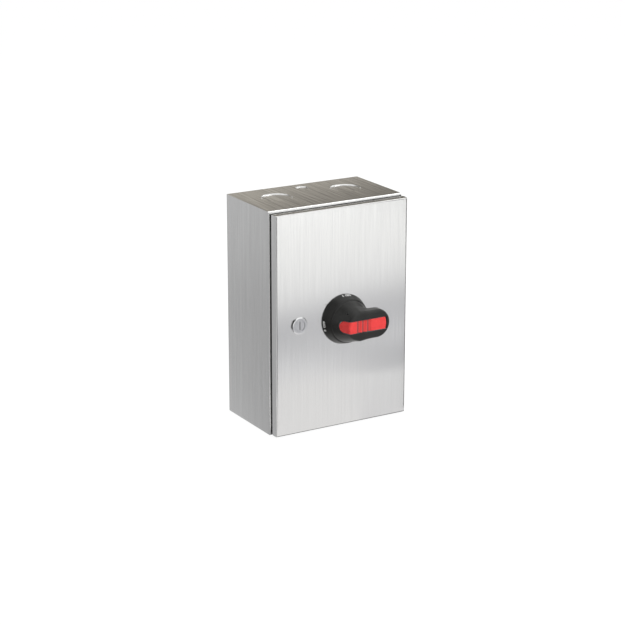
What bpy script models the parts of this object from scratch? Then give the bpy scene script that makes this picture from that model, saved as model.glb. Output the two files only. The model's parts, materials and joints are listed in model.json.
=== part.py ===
"""Fused disconnect switch: a stainless wall enclosure with a hinged door and a rotary handle.

X runs to the right, Y into the wall and Z up. The origin is the centre of the enclosure's back face.
All sizes are in metres.
"""
import math

import bmesh
import bpy
from mathutils import Matrix, Vector

for old_object in list(bpy.data.objects):
    bpy.data.objects.remove(old_object, do_unlink=True)

# Clearances
SEAT_GAP = 0.0003
TURN_GAP = 0.0003
SLIDE_GAP = 0.0004

# Enclosure body, folded sheet
BODY_WIDTH = 0.200
BODY_HEIGHT = 0.300
BODY_DEPTH = 0.112
SHEET = 0.0015
FRONT_BEND_RADIUS = 0.0018
FLANGE_WIDTH = 0.014
LIP_HEIGHT = 0.010
WALL_HOLE_DIAMETER = 0.007
WALL_HOLE_SPACING_X = 0.160
WALL_HOLE_SPACING_Z = 0.270

# Knockouts in the top and bottom walls
LARGE_KNOCKOUT_DIAMETER = 0.0405
SMALL_KNOCKOUT_DIAMETER = 0.0165
KNOCKOUT_STEP = 0.0009
LARGE_KNOCKOUT_SPACING = 0.104
LARGE_KNOCKOUT_FROM_WALL = 0.0485
SMALL_KNOCKOUT_X = 0.0025
SMALL_KNOCKOUT_FROM_WALL = 0.0195

# Door
DOOR_GAP = 0.0045
DOOR_RETURN = 0.012
DOOR_EDGE_RADIUS = 0.003
DOOR_INSET_SIDE = 0.0012
DOOR_INSET_TOP = 0.0024
DOOR_INSET_BOTTOM = 0.0016
GASKET_WIDTH = 0.010

# Hinges
HINGE_PIN_RADIUS = 0.0013
KNUCKLE_RADIUS = 0.0025
HINGE_FROM_SIDE = 0.006
HINGE_FROM_DOOR_FRONT = 0.0075
HINGE_SPACING = 0.200
BRACKET_KNUCKLE_LENGTH = 0.012
LEAF_KNUCKLE_LENGTH = 0.008
HINGE_SHEET = 0.0015
HINGE_ARM = 0.0017
HINGE_ARM_OFFSET = 0.00005
HINGE_PIN_HEAD = 0.0012
LEAF_WIDTH = 0.0048
LEAF_WEB = 0.0024
BRACKET_HEIGHT = 0.024

# Quarter-turn latch
LATCH_FROM_SIDE = 0.035
LATCH_Z = -0.001
LATCH_BEZEL_DIAMETER = 0.023
LATCH_BEZEL_HEIGHT = 0.0018
LATCH_BARREL_DIAMETER = 0.018
LATCH_INSERT_DIAMETER = 0.014
LATCH_SLOT_WIDTH = 0.0023
LATCH_SLOT_LENGTH = 0.0116
LATCH_SLOT_DEPTH = 0.0025
LATCH_NUT_ACROSS = 0.024
LATCH_NUT_HEIGHT = 0.004
LATCH_SHANK_SIDE = 0.006
CAM_WIDTH = 0.012
CAM_REACH = 0.027
CAM_THICKNESS = 0.0025
CAM_TO_FLANGE = 0.0006
LATCH_SCREW_RADIUS = 0.0018
LATCH_SCREW_HEAD_RADIUS = 0.0045
LATCH_SCREW_HEAD = 0.0028

# Handle
HANDLE_X = 0.0015
HANDLE_Z = -0.0018
BASE_RADIUS = 0.0334
BASE_TOP_RADIUS = 0.0288
BASE_HEIGHT = 0.016
BASE_RIM = 0.0012
BASE_FLOOR = 0.0029
HANDLE_GASKET_THICKNESS = 0.001
HANDLE_GASKET_RADIUS = 0.0330
HANDLE_GASKET_BORE = 0.020
NECK_RADIUS = 0.0216
HUB_RADIUS = 0.028
HUB_EDGE = 0.0009
HUB_TOP_RADIUS = 0.018
GRIP_HEIGHT = 0.0427
GRIP_EDGE_RADIUS = 0.0024
LEVER_LENGTH = 0.045
LEVER_HALF_WIDTH = 0.019
LEVER_THICKNESS = 0.0135
LEVER_LOWER_EDGE = 0.0014
LEVER_BLEND = 14
GRIP_POINTS = 64
GRIP_CROWDING = 0.35
DOOR_HANDLE_HOLE = 0.024
BACK_PLATE_SIDE = 0.054
BACK_PLATE_THICKNESS = 0.0015
HANDLE_SCREW_SPACING = 0.040
HANDLE_SCREW_RADIUS = 0.002
HANDLE_SCREW_HEAD_RADIUS = 0.0036
HANDLE_SCREW_HEAD = 0.0024
HANDLE_SCREW_REACH = 0.006
SCREW_SLOT_WIDTH = 0.001
SCREW_SLOT_DEPTH = 0.0012

# Red padlock bar, let into the grip
BAR_WIDTH = 0.0156
BAR_TIP = 0.0382
BAR_DEPTH = 0.010
BAR_FOLD = 0.017
BAR_SLOPE_LENGTH = 0.017
BAR_SLOPE_THICKNESS = 0.0045
BAR_TIP_GAP = 0.0008
BAR_END_INSET = 0.0001
BAR_PIVOT = 0.014
BAR_PIVOT_DEPTH = 0.004
BAR_TRUNNION_RADIUS = 0.0014
BAR_TRUNNION_LENGTH = 0.0017
BAR_GROOVE_RADIUS = 0.0024
BAR_GROOVE_DEPTH = 0.0010
BAR_GROOVE_PITCH = 0.0065
BAR_GROOVE_CENTRE = -0.0008
BAR_GROOVES = 3
PADLOCK_HOLE_DIAMETER = 0.007
PADLOCK_HOLE_FROM_AXIS = 0.026
PADLOCK_HOLE_DEPTH = 0.005
POCKET_PRESS_DEPTH = 0.010
POCKET_PRESS_ANGLE = math.radians(37)

# Interlock release screw in the hub
RELEASE_HEIGHT = 0.0322
RELEASE_ANGLE = math.radians(130)
RELEASE_RADIUS = 0.0013
RELEASE_SINK = 0.0015
RELEASE_LENGTH = 0.006
RELEASE_SOCKET_RADIUS = 0.0008
RELEASE_SOCKET_DEPTH = 0.001

# Shaft and coupler
SHAFT_SIDE = 0.006
SHAFT_CHAMFER = 0.0006
SHAFT_CLEARANCE = 0.0007
SHAFT_BEHIND_DOOR_FRONT = 0.0015
COUPLER_RADIUS = 0.0085
COUPLER_FLANGE_RADIUS = 0.0248
COUPLER_FLANGE = 0.002
COUPLER_BEHIND_DOOR_FRONT = 0.010

# Mounting plate
PLATE_WIDTH = 0.160
PLATE_HEIGHT = 0.260
PLATE_THICKNESS = 0.002
PLATE_STANDOFF = 0.010
STUD_RADIUS = 0.003
STUD_PROUD = 0.007
STUD_SPACING_X = 0.130
STUD_SPACING_Z = 0.220
NUT_ACROSS = 0.010
NUT_HEIGHT = 0.005

# Switch block
SWITCH_WIDTH = 0.096
SWITCH_HEIGHT = 0.066
SWITCH_DEPTH = 0.050
POLES = 3
POLE_PITCH = 0.030
LUG_POCKET_WIDTH = 0.023
LUG_POCKET_HEIGHT = 0.016
LUG_POCKET_DEPTH = 0.030
LUG_WIDTH = 0.018
LUG_HEIGHT = 0.014
LUG_DEPTH = 0.020
LUG_WIRE_RADIUS = 0.0045
LUG_SCREW_RADIUS = 0.003
LUG_SCREW_PROUD = 0.003
LUG_WIRE_FROM_BACK = 0.0064
LUG_EDGE = 0.0006
MOULDED_EDGE = 0.0012
COVER_WIDTH = 0.088
COVER_HEIGHT = 0.044
COVER_THICKNESS = 0.006
ROTOR_RADIUS = 0.012
ROTOR_LENGTH = 0.010

# Fuses and their carrier
FUSE_RADIUS = 0.0104
FUSE_BARREL_RADIUS = 0.0099
FUSE_LENGTH = 0.057
FERRULE_LENGTH = 0.014
FUSE_EDGE = 0.001
FUSE_BASE_HEIGHT = 0.084
FUSE_BASE_DEPTH = 0.020
FUSE_FROM_BASE_TOP = 0.005
BARRIER_THICKNESS = 0.003
BARRIER_DEPTH = 0.026
CLIP_SHEET = 0.0012
CLIP_HEIGHT = 0.010
CLIP_SINK = 0.0002
CLIP_WRAP = math.radians(250)
CLIP_STRIP_WIDTH = 0.014
CLIP_TAIL_IN_SWITCH = 0.007
LOAD_LUG_DROP = 0.004
GROUND_LUG_FROM_PLATE_SIDE = 0.014
GROUND_LUG_Z = -0.060

# Derived places, from the wall to the handle
LATCH_X = LATCH_FROM_SIDE - BODY_WIDTH / 2
GROUND_LUG_X = PLATE_WIDTH / 2 - GROUND_LUG_FROM_PLATE_SIDE
PLATE_BACK = -(SHEET + PLATE_STANDOFF)
PLATE_FRONT = PLATE_BACK - PLATE_THICKNESS
LIP_FRONT = -(BODY_DEPTH + LIP_HEIGHT)
DOOR_BACK = -(BODY_DEPTH + DOOR_GAP)
DOOR_FRONT = DOOR_BACK - DOOR_RETURN
DOOR_INNER = DOOR_FRONT + SHEET
HINGE_X = BODY_WIDTH / 2 - HINGE_FROM_SIDE
HINGE_Y = DOOR_FRONT + HINGE_FROM_DOOR_FRONT
SWITCH_BACK = PLATE_FRONT - SEAT_GAP
SWITCH_FRONT = SWITCH_BACK - SWITCH_DEPTH
COVER_BACK = SWITCH_FRONT - SEAT_GAP
ROTOR_BACK = SWITCH_FRONT - SEAT_GAP
FUSE_BASE_FRONT = SWITCH_BACK - FUSE_BASE_DEPTH
SWITCH_TOP = HANDLE_Z + SWITCH_HEIGHT / 2
SWITCH_BOTTOM = HANDLE_Z - SWITCH_HEIGHT / 2
FUSE_BASE_TOP = SWITCH_BOTTOM - SEAT_GAP
FUSE_BASE_BOTTOM = FUSE_BASE_TOP - FUSE_BASE_HEIGHT
FUSE_TOP = FUSE_BASE_TOP - FUSE_FROM_BASE_TOP
FUSE_BOTTOM = FUSE_TOP - FUSE_LENGTH
STRIP_BACK = FUSE_BASE_FRONT - SEAT_GAP
STRIP_FRONT = STRIP_BACK - CLIP_SHEET
CLIP_INNER_RADIUS = FUSE_RADIUS + SEAT_GAP
CLIP_OUTER_RADIUS = CLIP_INNER_RADIUS + CLIP_SHEET
FUSE_Y = STRIP_BACK - CLIP_SINK - CLIP_OUTER_RADIUS
BASE_BACK = HANDLE_GASKET_THICKNESS + 2 * SEAT_GAP
GRIP_UNDERSIDE = BASE_HEIGHT + TURN_GAP
LEVER_UNDERSIDE = GRIP_HEIGHT - LEVER_THICKNESS
COUNTERBORE_TOP = BASE_BACK + BASE_FLOOR
COUNTERBORE_RADIUS = COUPLER_FLANGE_RADIUS + SLIDE_GAP
NECK_END = COUNTERBORE_TOP
COUPLER_FLANGE_TOP = NECK_END - SEAT_GAP
COUPLER_FLANGE_BACK = COUPLER_FLANGE_TOP - COUPLER_FLANGE

PARTS = bpy.data.collections.new("fused_disconnect_switch")
CUTTERS = bpy.data.collections.new("cutters")
bpy.context.scene.collection.children.link(PARTS)
bpy.context.scene.collection.children.link(CUTTERS)


def finish(name, colour, roughness, metallic):
    """One surface finish as a Principled material."""
    material = bpy.data.materials.new(name)
    material.use_nodes = True
    shader = material.node_tree.nodes["Principled BSDF"]
    shader.inputs["Base Color"].default_value = (*colour, 1.0)
    shader.inputs["Roughness"].default_value = roughness
    shader.inputs["Metallic"].default_value = metallic
    return material


STAINLESS = finish("brushed_stainless", (0.60, 0.60, 0.59), 0.32, 1.0)
ZINC_PLATED = finish("zinc_plated_steel", (0.62, 0.63, 0.64), 0.35, 1.0)
CHROMED = finish("chromed_zinc", (0.74, 0.74, 0.75), 0.18, 1.0)
BLACK_PLASTIC = finish("black_polyamide", (0.028, 0.028, 0.027), 0.45, 0.0)
RED_PLASTIC = finish("red_polyamide", (0.80, 0.055, 0.055), 0.42, 0.0)
SEAL_RUBBER = finish("black_seal_rubber", (0.02, 0.02, 0.02), 0.75, 0.0)
GREY_PLASTIC = finish("grey_polyester", (0.20, 0.21, 0.22), 0.5, 0.0)
FUSE_TUBE = finish("fuse_tube", (0.66, 0.62, 0.52), 0.55, 0.0)
TINNED_COPPER = finish("tinned_copper", (0.66, 0.62, 0.56), 0.3, 1.0)
ALUMINIUM = finish("aluminium_lug", (0.72, 0.73, 0.74), 0.38, 1.0)
BRASS = finish("brass_rotor", (0.70, 0.52, 0.22), 0.35, 1.0)

AXES = {}


def joint_axis(name, place, parent=None):
    """An empty on a joint's axis; the pieces that move on that joint are its children."""
    axis = bpy.data.objects.new(name, None)
    PARTS.objects.link(axis)
    AXES[name] = (axis, Vector(place))
    axis.location = place
    if parent:
        hang(axis, parent)
    return name


def hang(piece, axis_name):
    """Parent a piece to a joint's empty and leave it where it is."""
    axis, place = AXES[axis_name]
    piece.parent = axis
    piece.matrix_parent_inverse = Matrix.Translation(place).inverted()


def place_part(piece, material, axis_name=None):
    """Give a piece its finish and its joint."""
    piece.data.materials.append(material)
    if axis_name:
        hang(piece, axis_name)
    return piece


def mesh_object(name, bm, collection):
    """Turn a bmesh into an object, round surfaces smooth and edges sharp."""
    mesh = bpy.data.meshes.new(name)
    bm.to_mesh(mesh)
    bm.free()
    mesh.shade_smooth()
    mesh.set_sharp_from_angle(angle=math.radians(35))
    piece = bpy.data.objects.new(name, mesh)
    collection.objects.link(piece)
    return piece


def part(name, bm, material, axis_name=None):
    return place_part(mesh_object(name, bm, PARTS), material, axis_name)


def tool(name, bm):
    """A body that only cuts, joins or trims another."""
    return hide_tool(mesh_object(name, bm, CUTTERS))


def hide_tool(piece):
    piece.hide_render = True
    piece.display_type = "WIRE"
    return piece


def combine(piece, other, operation):
    modifier = piece.modifiers.new(other.name, "BOOLEAN")
    modifier.operation = operation
    modifier.solver = "EXACT"
    modifier.object = other


def cut(piece, name, bm):
    combine(piece, tool(name, bm), "DIFFERENCE")


def join(piece, name, bm):
    combine(piece, tool(name, bm), "UNION")


def round_edges(piece, width, segments=1):
    modifier = piece.modifiers.new("edges", "BEVEL")
    modifier.width = width
    modifier.segments = segments
    modifier.limit_method = "ANGLE"
    modifier.angle_limit = math.radians(40)


def block(bm, low, high):
    """A box between two corners."""
    low = Vector(low)
    high = Vector(high)
    size = Matrix.Diagonal((*(high - low), 1.0))
    bmesh.ops.create_cube(bm, size=1.0, matrix=Matrix.Translation((low + high) / 2) @ size)
    return bm


def rod(bm, start, end, radius, segments=24):
    """A round bar between two points, or a hexagonal one with 6 segments."""
    start = Vector(start)
    end = Vector(end)
    run = end - start
    turn = run.to_track_quat("Z", "Y").to_matrix().to_4x4()
    place = Matrix.Translation((start + end) / 2) @ turn
    bmesh.ops.create_cone(bm, cap_ends=True, segments=segments, radius1=radius, radius2=radius,
                          depth=run.length, matrix=place)
    return bm


def loft(bm, rings, closed=False):
    """Walls between rings of equal point counts; an open run is capped at both ends."""
    loops = [[bm.verts.new(point) for point in ring] for ring in rings]
    following = loops[1:] + loops[:1] if closed else loops[1:]
    for near, far in zip(loops, following):
        count = len(near)
        for index in range(count):
            after = (index + 1) % count
            bm.faces.new((near[index], near[after], far[after], far[index]))
    if not closed:
        bm.faces.new(loops[0])
        bm.faces.new(loops[-1])
    bmesh.ops.recalc_face_normals(bm, faces=bm.faces)
    return bm


def turned(name, profile, place, material, axis_name=None, upright=False, steps=36):
    """A turned piece: (radius, height) points, down the outer side first, with a Screw modifier.

    Heights run to the front from place, or up where upright is set. A profile that leaves the axis is solid.
    """
    solid = profile[0][0] == 0.0
    bm = bmesh.new()
    points = [bm.verts.new((radius, 0.0, height)) for radius, height in profile]
    ends = points[1:] if solid else points[1:] + points[:1]
    for near, far in zip(points, ends):
        bm.edges.new((near, far))
    piece = mesh_object(name, bm, PARTS)
    piece.location = place
    piece.rotation_euler = (0.0 if upright else math.pi / 2, 0.0, 0.0)
    screw = piece.modifiers.new("turn", "SCREW")
    screw.axis = "Z"
    screw.steps = steps
    screw.render_steps = steps
    screw.use_merge_vertices = True
    screw.merge_threshold = 0.00001
    return place_part(piece, material, axis_name)


def arc(centre, radius, start, end, steps):
    """Points on a circle, from one angle to another."""
    angles = [start + (end - start) * step / steps for step in range(steps + 1)]
    return [(centre[0] + radius * math.cos(angle), centre[1] + radius * math.sin(angle)) for angle in angles]


def frame_ring(bounds, inset, y):
    """A rectangle at depth y, drawn in from (left, right, bottom, top)."""
    left, right, bottom, top = bounds
    return [(left + inset, y, bottom + inset), (right - inset, y, bottom + inset),
            (right - inset, y, top - inset), (left + inset, y, top - inset)]


BODY_BOUNDS = (-BODY_WIDTH / 2, BODY_WIDTH / 2, -BODY_HEIGHT / 2, BODY_HEIGHT / 2)
DOOR_BOUNDS = (-BODY_WIDTH / 2 + DOOR_INSET_SIDE, BODY_WIDTH / 2 - DOOR_INSET_SIDE,
               -BODY_HEIGHT / 2 + DOOR_INSET_BOTTOM, BODY_HEIGHT / 2 - DOOR_INSET_TOP)


def corners(spacing_x, spacing_z):
    """The four points of a rectangle round the origin."""
    return [(sx * spacing_x / 2, sz * spacing_z / 2) for sz in (1, -1) for sx in (-1, 1)]


def knockout_places():
    """(x, distance from the wall, radius) of each knockout in a wall."""
    side = LARGE_KNOCKOUT_SPACING / 2
    large = [(x, LARGE_KNOCKOUT_FROM_WALL, LARGE_KNOCKOUT_DIAMETER / 2) for x in (-side, side)]
    return large + [(SMALL_KNOCKOUT_X, SMALL_KNOCKOUT_FROM_WALL, SMALL_KNOCKOUT_DIAMETER / 2)]


def enclosure_body():
    """Back, four walls, a flange turned in at the front and a lip turned forwards for the gasket."""
    radius = FRONT_BEND_RADIUS
    profile = [(0.0, 0.0)]
    bend = arc((radius, -(BODY_DEPTH - radius)), radius, math.pi, math.pi * 1.5, 3)
    profile += bend
    profile += [(FLANGE_WIDTH, -BODY_DEPTH), (FLANGE_WIDTH, LIP_FRONT), (FLANGE_WIDTH + SHEET, LIP_FRONT)]
    profile += [(FLANGE_WIDTH + SHEET, SHEET - BODY_DEPTH), (SHEET, SHEET - BODY_DEPTH), (SHEET, -SHEET)]
    bm = loft(bmesh.new(), [frame_ring(BODY_BOUNDS, inset, y) for inset, y in profile])
    body = part("enclosure_body", bm, STAINLESS)

    pressed = bmesh.new()
    cuts = bmesh.new()
    for side in (1, -1):
        outside = side * BODY_HEIGHT / 2
        for x, from_wall, knockout_radius in knockout_places():
            recess_floor = outside - side * KNOCKOUT_STEP
            inside = outside - side * SHEET
            pressed_face = inside - side * KNOCKOUT_STEP
            middle = (recess_floor + inside) / 2
            rod(cuts, (x, -from_wall, recess_floor), (x, -from_wall, outside + side * SHEET),
                knockout_radius, 28)
            rod(pressed, (x, -from_wall, pressed_face), (x, -from_wall, middle), knockout_radius, 28)
    for x, z in corners(WALL_HOLE_SPACING_X, WALL_HOLE_SPACING_Z):
        rod(cuts, (x, SHEET, z), (x, -2 * SHEET, z), WALL_HOLE_DIAMETER / 2, 12)
    for x, z in corners(STUD_SPACING_X, STUD_SPACING_Z):
        rod(pressed, (x, -SHEET / 2, z), (x, PLATE_FRONT - STUD_PROUD, z), STUD_RADIUS, 12)
    cut(body, "knockouts_and_wall_holes", cuts)
    join(body, "pressed_discs_and_studs", pressed)


def door():
    """Tray with a rolled edge, pierced for the handle and the latch."""
    radius = DOOR_EDGE_RADIUS
    centre = (radius, DOOR_FRONT + radius)
    outer = arc(centre, radius, math.pi * 1.5, math.pi, 4)
    inner = arc(centre, radius - SHEET, math.pi, math.pi * 1.5, 3)
    profile = outer + [(0.0, DOOR_BACK), (SHEET, DOOR_BACK)] + inner
    bm = loft(bmesh.new(), [frame_ring(DOOR_BOUNDS, inset, y) for inset, y in profile])
    leaf = part("door", bm, STAINLESS, "door_axis")
    front = DOOR_FRONT - SHEET
    back = DOOR_INNER + SHEET
    cuts = bmesh.new()
    rod(cuts, (HANDLE_X, back, HANDLE_Z), (HANDLE_X, front, HANDLE_Z), DOOR_HANDLE_HOLE / 2, 32)
    rod(cuts, (LATCH_X, back, LATCH_Z), (LATCH_X, front, LATCH_Z),
        LATCH_BARREL_DIAMETER / 2 + SEAT_GAP, 32)
    for x, z in handle_screw_places():
        rod(cuts, (x, back, z), (x, front, z), HANDLE_SCREW_RADIUS + SEAT_GAP, 16)
    cut(leaf, "door_holes", cuts)


def door_gasket():
    """Foamed rubber ring on the door; the body's lip presses into its middle."""
    seat = DOOR_INNER + SEAT_GAP
    height = LIP_FRONT - SEAT_GAP - seat
    middle = FLANGE_WIDTH + SHEET / 2
    crown = arc((0.0, 0.0), 1.0, 0.0, math.pi, 6)
    profile = [(middle - GASKET_WIDTH / 2 * across, seat + height * up) for across, up in crown]
    bm = loft(bmesh.new(), [frame_ring(BODY_BOUNDS, inset, y) for inset, y in profile], closed=True)
    part("door_gasket", bm, SEAL_RUBBER, "door_axis")


def hinge(position, z):
    """Concealed hinge: bracket on the body's lip, leaf behind the door, and the pin through both."""
    half = BRACKET_KNUCKLE_LENGTH / 2
    leaf_start = half + TURN_GAP
    leaf_end = leaf_start + LEAF_KNUCKLE_LENGTH
    bore = bmesh.new()
    rod(bore, (HINGE_X, HINGE_Y, z - 2 * leaf_end), (HINGE_X, HINGE_Y, z + 2 * leaf_end),
        HINGE_PIN_RADIUS + TURN_GAP, 12)

    seat = BODY_WIDTH / 2 - FLANGE_WIDTH + SEAT_GAP
    bracket = part("hinge_bracket_" + position, block(
        bmesh.new(), (seat, LIP_FRONT + HINGE_SHEET / 2, z - BRACKET_HEIGHT / 2),
        (seat + HINGE_SHEET, -BODY_DEPTH - SEAT_GAP, z + BRACKET_HEIGHT / 2)), ZINC_PLATED)
    arm_middle = HINGE_Y - HINGE_ARM_OFFSET
    arm = block(bmesh.new(), (seat + HINGE_SHEET / 2, arm_middle - HINGE_ARM / 2, z - half + SEAT_GAP),
                (HINGE_X, arm_middle + HINGE_ARM / 2, z + half - SEAT_GAP))
    knuckle = rod(bmesh.new(), (HINGE_X, HINGE_Y, z - half), (HINGE_X, HINGE_Y, z + half), KNUCKLE_RADIUS, 16)
    join(bracket, "bracket_arm_" + position, arm)
    join(bracket, "bracket_knuckle_" + position, knuckle)

    leaf_back = DOOR_INNER + SEAT_GAP
    leaf_right = BODY_WIDTH / 2 - DOOR_INSET_SIDE - DOOR_EDGE_RADIUS - SEAT_GAP
    leaf = part("hinge_leaf_" + position, block(
        bmesh.new(), (leaf_right - LEAF_WIDTH, leaf_back, z - leaf_end),
        (leaf_right, leaf_back + HINGE_SHEET, z + leaf_end)), ZINC_PLATED, "door_axis")
    webs = bmesh.new()
    knuckles = bmesh.new()
    for low, high in ((-leaf_end, -leaf_start), (leaf_start, leaf_end)):
        block(webs, (HINGE_X - LEAF_WEB / 2, leaf_back + HINGE_SHEET / 2, z + low + SEAT_GAP),
              (HINGE_X + LEAF_WEB / 2, HINGE_Y, z + high - SEAT_GAP))
        rod(knuckles, (HINGE_X, HINGE_Y, z + low), (HINGE_X, HINGE_Y, z + high), KNUCKLE_RADIUS, 16)
    join(leaf, "leaf_webs_" + position, webs)
    join(leaf, "leaf_knuckles_" + position, knuckles)

    pin_bore = tool("hinge_bore_" + position, bore)
    combine(bracket, pin_bore, "DIFFERENCE")
    combine(leaf, pin_bore, "DIFFERENCE")

    top = leaf_end + SEAT_GAP
    head_radius = KNUCKLE_RADIUS - TURN_GAP
    profile = [(0.0, top + HINGE_PIN_HEAD), (head_radius, top + HINGE_PIN_HEAD), (head_radius, top),
               (HINGE_PIN_RADIUS, top), (HINGE_PIN_RADIUS, -leaf_end), (0.0, -leaf_end)]
    turned("hinge_pin_" + position, profile, (HINGE_X, HINGE_Y, z), ZINC_PLATED, upright=True, steps=12)


def latch():
    """Quarter-turn latch: housing and nut fixed in the door, slotted insert and cam turning in them."""
    bezel_back = SEAT_GAP
    bezel_front = bezel_back + LATCH_BEZEL_HEIGHT
    cam_front = SHEET - BODY_DEPTH + CAM_TO_FLANGE
    cam_front_height = DOOR_FRONT - cam_front
    barrel_end = cam_front_height + 2 * TURN_GAP
    barrel = LATCH_BARREL_DIAMETER / 2
    bezel = LATCH_BEZEL_DIAMETER / 2
    insert = LATCH_INSERT_DIAMETER / 2
    bore = insert + TURN_GAP
    chamfer = LATCH_BEZEL_HEIGHT / 2
    place = (LATCH_X, DOOR_FRONT, LATCH_Z)
    turned("latch_housing", [
        (bezel - chamfer, bezel_front), (bezel, bezel_front - chamfer), (bezel, bezel_back),
        (barrel, bezel_back), (barrel, barrel_end), (bore, barrel_end), (bore, bezel_front)],
        place, CHROMED, "door_axis")

    nut_front = DOOR_INNER + SEAT_GAP
    nut_radius = LATCH_NUT_ACROSS / math.sqrt(3.0)
    nut = part("latch_nut", rod(bmesh.new(), (LATCH_X, nut_front, LATCH_Z),
                                (LATCH_X, nut_front + LATCH_NUT_HEIGHT, LATCH_Z), nut_radius, 6),
               ZINC_PLATED, "door_axis")
    cut(nut, "latch_nut_bore", rod(bmesh.new(), (LATCH_X, nut_front - SHEET, LATCH_Z),
                                   (LATCH_X, nut_front + 2 * LATCH_NUT_HEIGHT, LATCH_Z),
                                   barrel + SEAT_GAP, 32))

    shank = LATCH_SHANK_SIDE / 2
    insert_front = bezel_front - SEAT_GAP
    plug = turned("latch_insert", [(0.0, insert_front), (insert, insert_front), (insert, barrel_end),
                                   (0.0, barrel_end)], place, CHROMED, "latch_axis")
    cam_back = cam_front + CAM_THICKNESS
    shoulder = DOOR_FRONT - barrel_end
    join(plug, "latch_shank", block(
        bmesh.new(), (LATCH_X - shank, shoulder - CAM_THICKNESS, LATCH_Z - shank),
        (LATCH_X + shank, cam_back, LATCH_Z + shank)))
    slot_front = DOOR_FRONT - insert_front
    slots = block(bmesh.new(), (LATCH_X - LATCH_SLOT_WIDTH / 2, slot_front - SHEET,
                                LATCH_Z - LATCH_SLOT_LENGTH / 2),
                  (LATCH_X + LATCH_SLOT_WIDTH / 2, slot_front + LATCH_SLOT_DEPTH,
                   LATCH_Z + LATCH_SLOT_LENGTH / 2))
    cut(plug, "latch_slot", slots)
    screw_tip = shoulder
    cut(plug, "latch_screw_hole", rod(bmesh.new(), (LATCH_X, screw_tip - SEAT_GAP, LATCH_Z),
                                      (LATCH_X, cam_back + SHEET, LATCH_Z),
                                      LATCH_SCREW_RADIUS + SEAT_GAP, 16))

    half = CAM_WIDTH / 2
    end = arc((0.0, 0.0), half, 0.0, math.pi, 8)
    outline = end + [(-half, -CAM_REACH), (half, -CAM_REACH)]
    rings = [[(LATCH_X + x, y, LATCH_Z + z) for x, z in outline] for y in (cam_front, cam_back)]
    cam = part("latch_cam", loft(bmesh.new(), rings), ZINC_PLATED, "latch_axis")
    hole = shank + SEAT_GAP
    cut(cam, "latch_cam_hole", block(
        bmesh.new(), (LATCH_X - hole, cam_front - SHEET, LATCH_Z - hole),
        (LATCH_X + hole, cam_back + SHEET, LATCH_Z + hole)))

    head_back = DOOR_FRONT - (cam_back + SEAT_GAP)
    turned("latch_screw", [
        (0.0, DOOR_FRONT - screw_tip), (LATCH_SCREW_RADIUS, DOOR_FRONT - screw_tip),
        (LATCH_SCREW_RADIUS, head_back), (LATCH_SCREW_HEAD_RADIUS, head_back),
        (LATCH_SCREW_HEAD_RADIUS, head_back - LATCH_SCREW_HEAD), (0.0, head_back - LATCH_SCREW_HEAD)],
        place, ZINC_PLATED, "latch_axis", steps=24)


def handle_point(along, across, height):
    """A point of the handle: along the lever, across it, and in front of the door."""
    return Vector((HANDLE_X + along, DOOR_FRONT - height, HANDLE_Z + across))


def handle_screw_places():
    """The four screws round the handle's axis."""
    return [(HANDLE_X + x, HANDLE_Z + z) for x, z in corners(HANDLE_SCREW_SPACING, HANDLE_SCREW_SPACING)]


def handle_base():
    """Fixed conical base on its gasket, clamped to the door by four screws through a back plate."""
    place = handle_point(0.0, 0.0, 0.0)
    bore = NECK_RADIUS + TURN_GAP
    base = turned("handle_base", [
        (BASE_TOP_RADIUS, BASE_HEIGHT), (BASE_RADIUS, BASE_BACK + BASE_RIM), (BASE_RADIUS, BASE_BACK),
        (COUNTERBORE_RADIUS, BASE_BACK), (COUNTERBORE_RADIUS, COUNTERBORE_TOP), (bore, COUNTERBORE_TOP),
        (bore, BASE_HEIGHT)], place, BLACK_PLASTIC, "door_axis", steps=56)
    gasket = turned("handle_gasket", [
        (HANDLE_GASKET_RADIUS, SEAT_GAP + HANDLE_GASKET_THICKNESS), (HANDLE_GASKET_RADIUS, SEAT_GAP),
        (HANDLE_GASKET_BORE, SEAT_GAP), (HANDLE_GASKET_BORE, SEAT_GAP + HANDLE_GASKET_THICKNESS)],
        place, SEAL_RUBBER, "door_axis")

    plate_front = DOOR_INNER + SEAT_GAP
    plate_back = plate_front + BACK_PLATE_THICKNESS
    half = BACK_PLATE_SIDE / 2
    plate = part("handle_back_plate", block(
        bmesh.new(), (HANDLE_X - half, plate_front, HANDLE_Z - half),
        (HANDLE_X + half, plate_back, HANDLE_Z + half)), ZINC_PLATED, "door_axis")
    holes = bmesh.new()
    for x, z in handle_screw_places():
        rod(holes, (x, plate_back + SHEET, z), (x, DOOR_FRONT - BASE_BACK - HANDLE_SCREW_REACH - SEAT_GAP, z),
            HANDLE_SCREW_RADIUS + SEAT_GAP, 16)
    screw_holes = tool("handle_screw_holes", holes)
    for clamped in (base, gasket, plate):
        combine(clamped, screw_holes, "DIFFERENCE")
    cut(plate, "back_plate_opening", rod(
        bmesh.new(), (HANDLE_X, plate_front - SHEET, HANDLE_Z), (HANDLE_X, plate_back + SHEET, HANDLE_Z),
        DOOR_HANDLE_HOLE / 2, 32))

    head_front = DOOR_FRONT - (plate_back + SEAT_GAP)
    head_back = head_front - HANDLE_SCREW_HEAD
    tip = BASE_BACK + HANDLE_SCREW_REACH
    for number, (x, z) in enumerate(handle_screw_places(), 1):
        screw = turned(f"handle_screw_{number}", [
            (0.0, tip), (HANDLE_SCREW_RADIUS, tip), (HANDLE_SCREW_RADIUS, head_front),
            (HANDLE_SCREW_HEAD_RADIUS, head_front), (HANDLE_SCREW_HEAD_RADIUS, head_back), (0.0, head_back)],
            (x, DOOR_FRONT, z), ZINC_PLATED, "door_axis", steps=12)
        face = (x, DOOR_FRONT - head_back, z)
        cut(screw, f"handle_screw_slot_{number}", screw_slot(face, HANDLE_SCREW_HEAD_RADIUS, 1))


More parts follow.
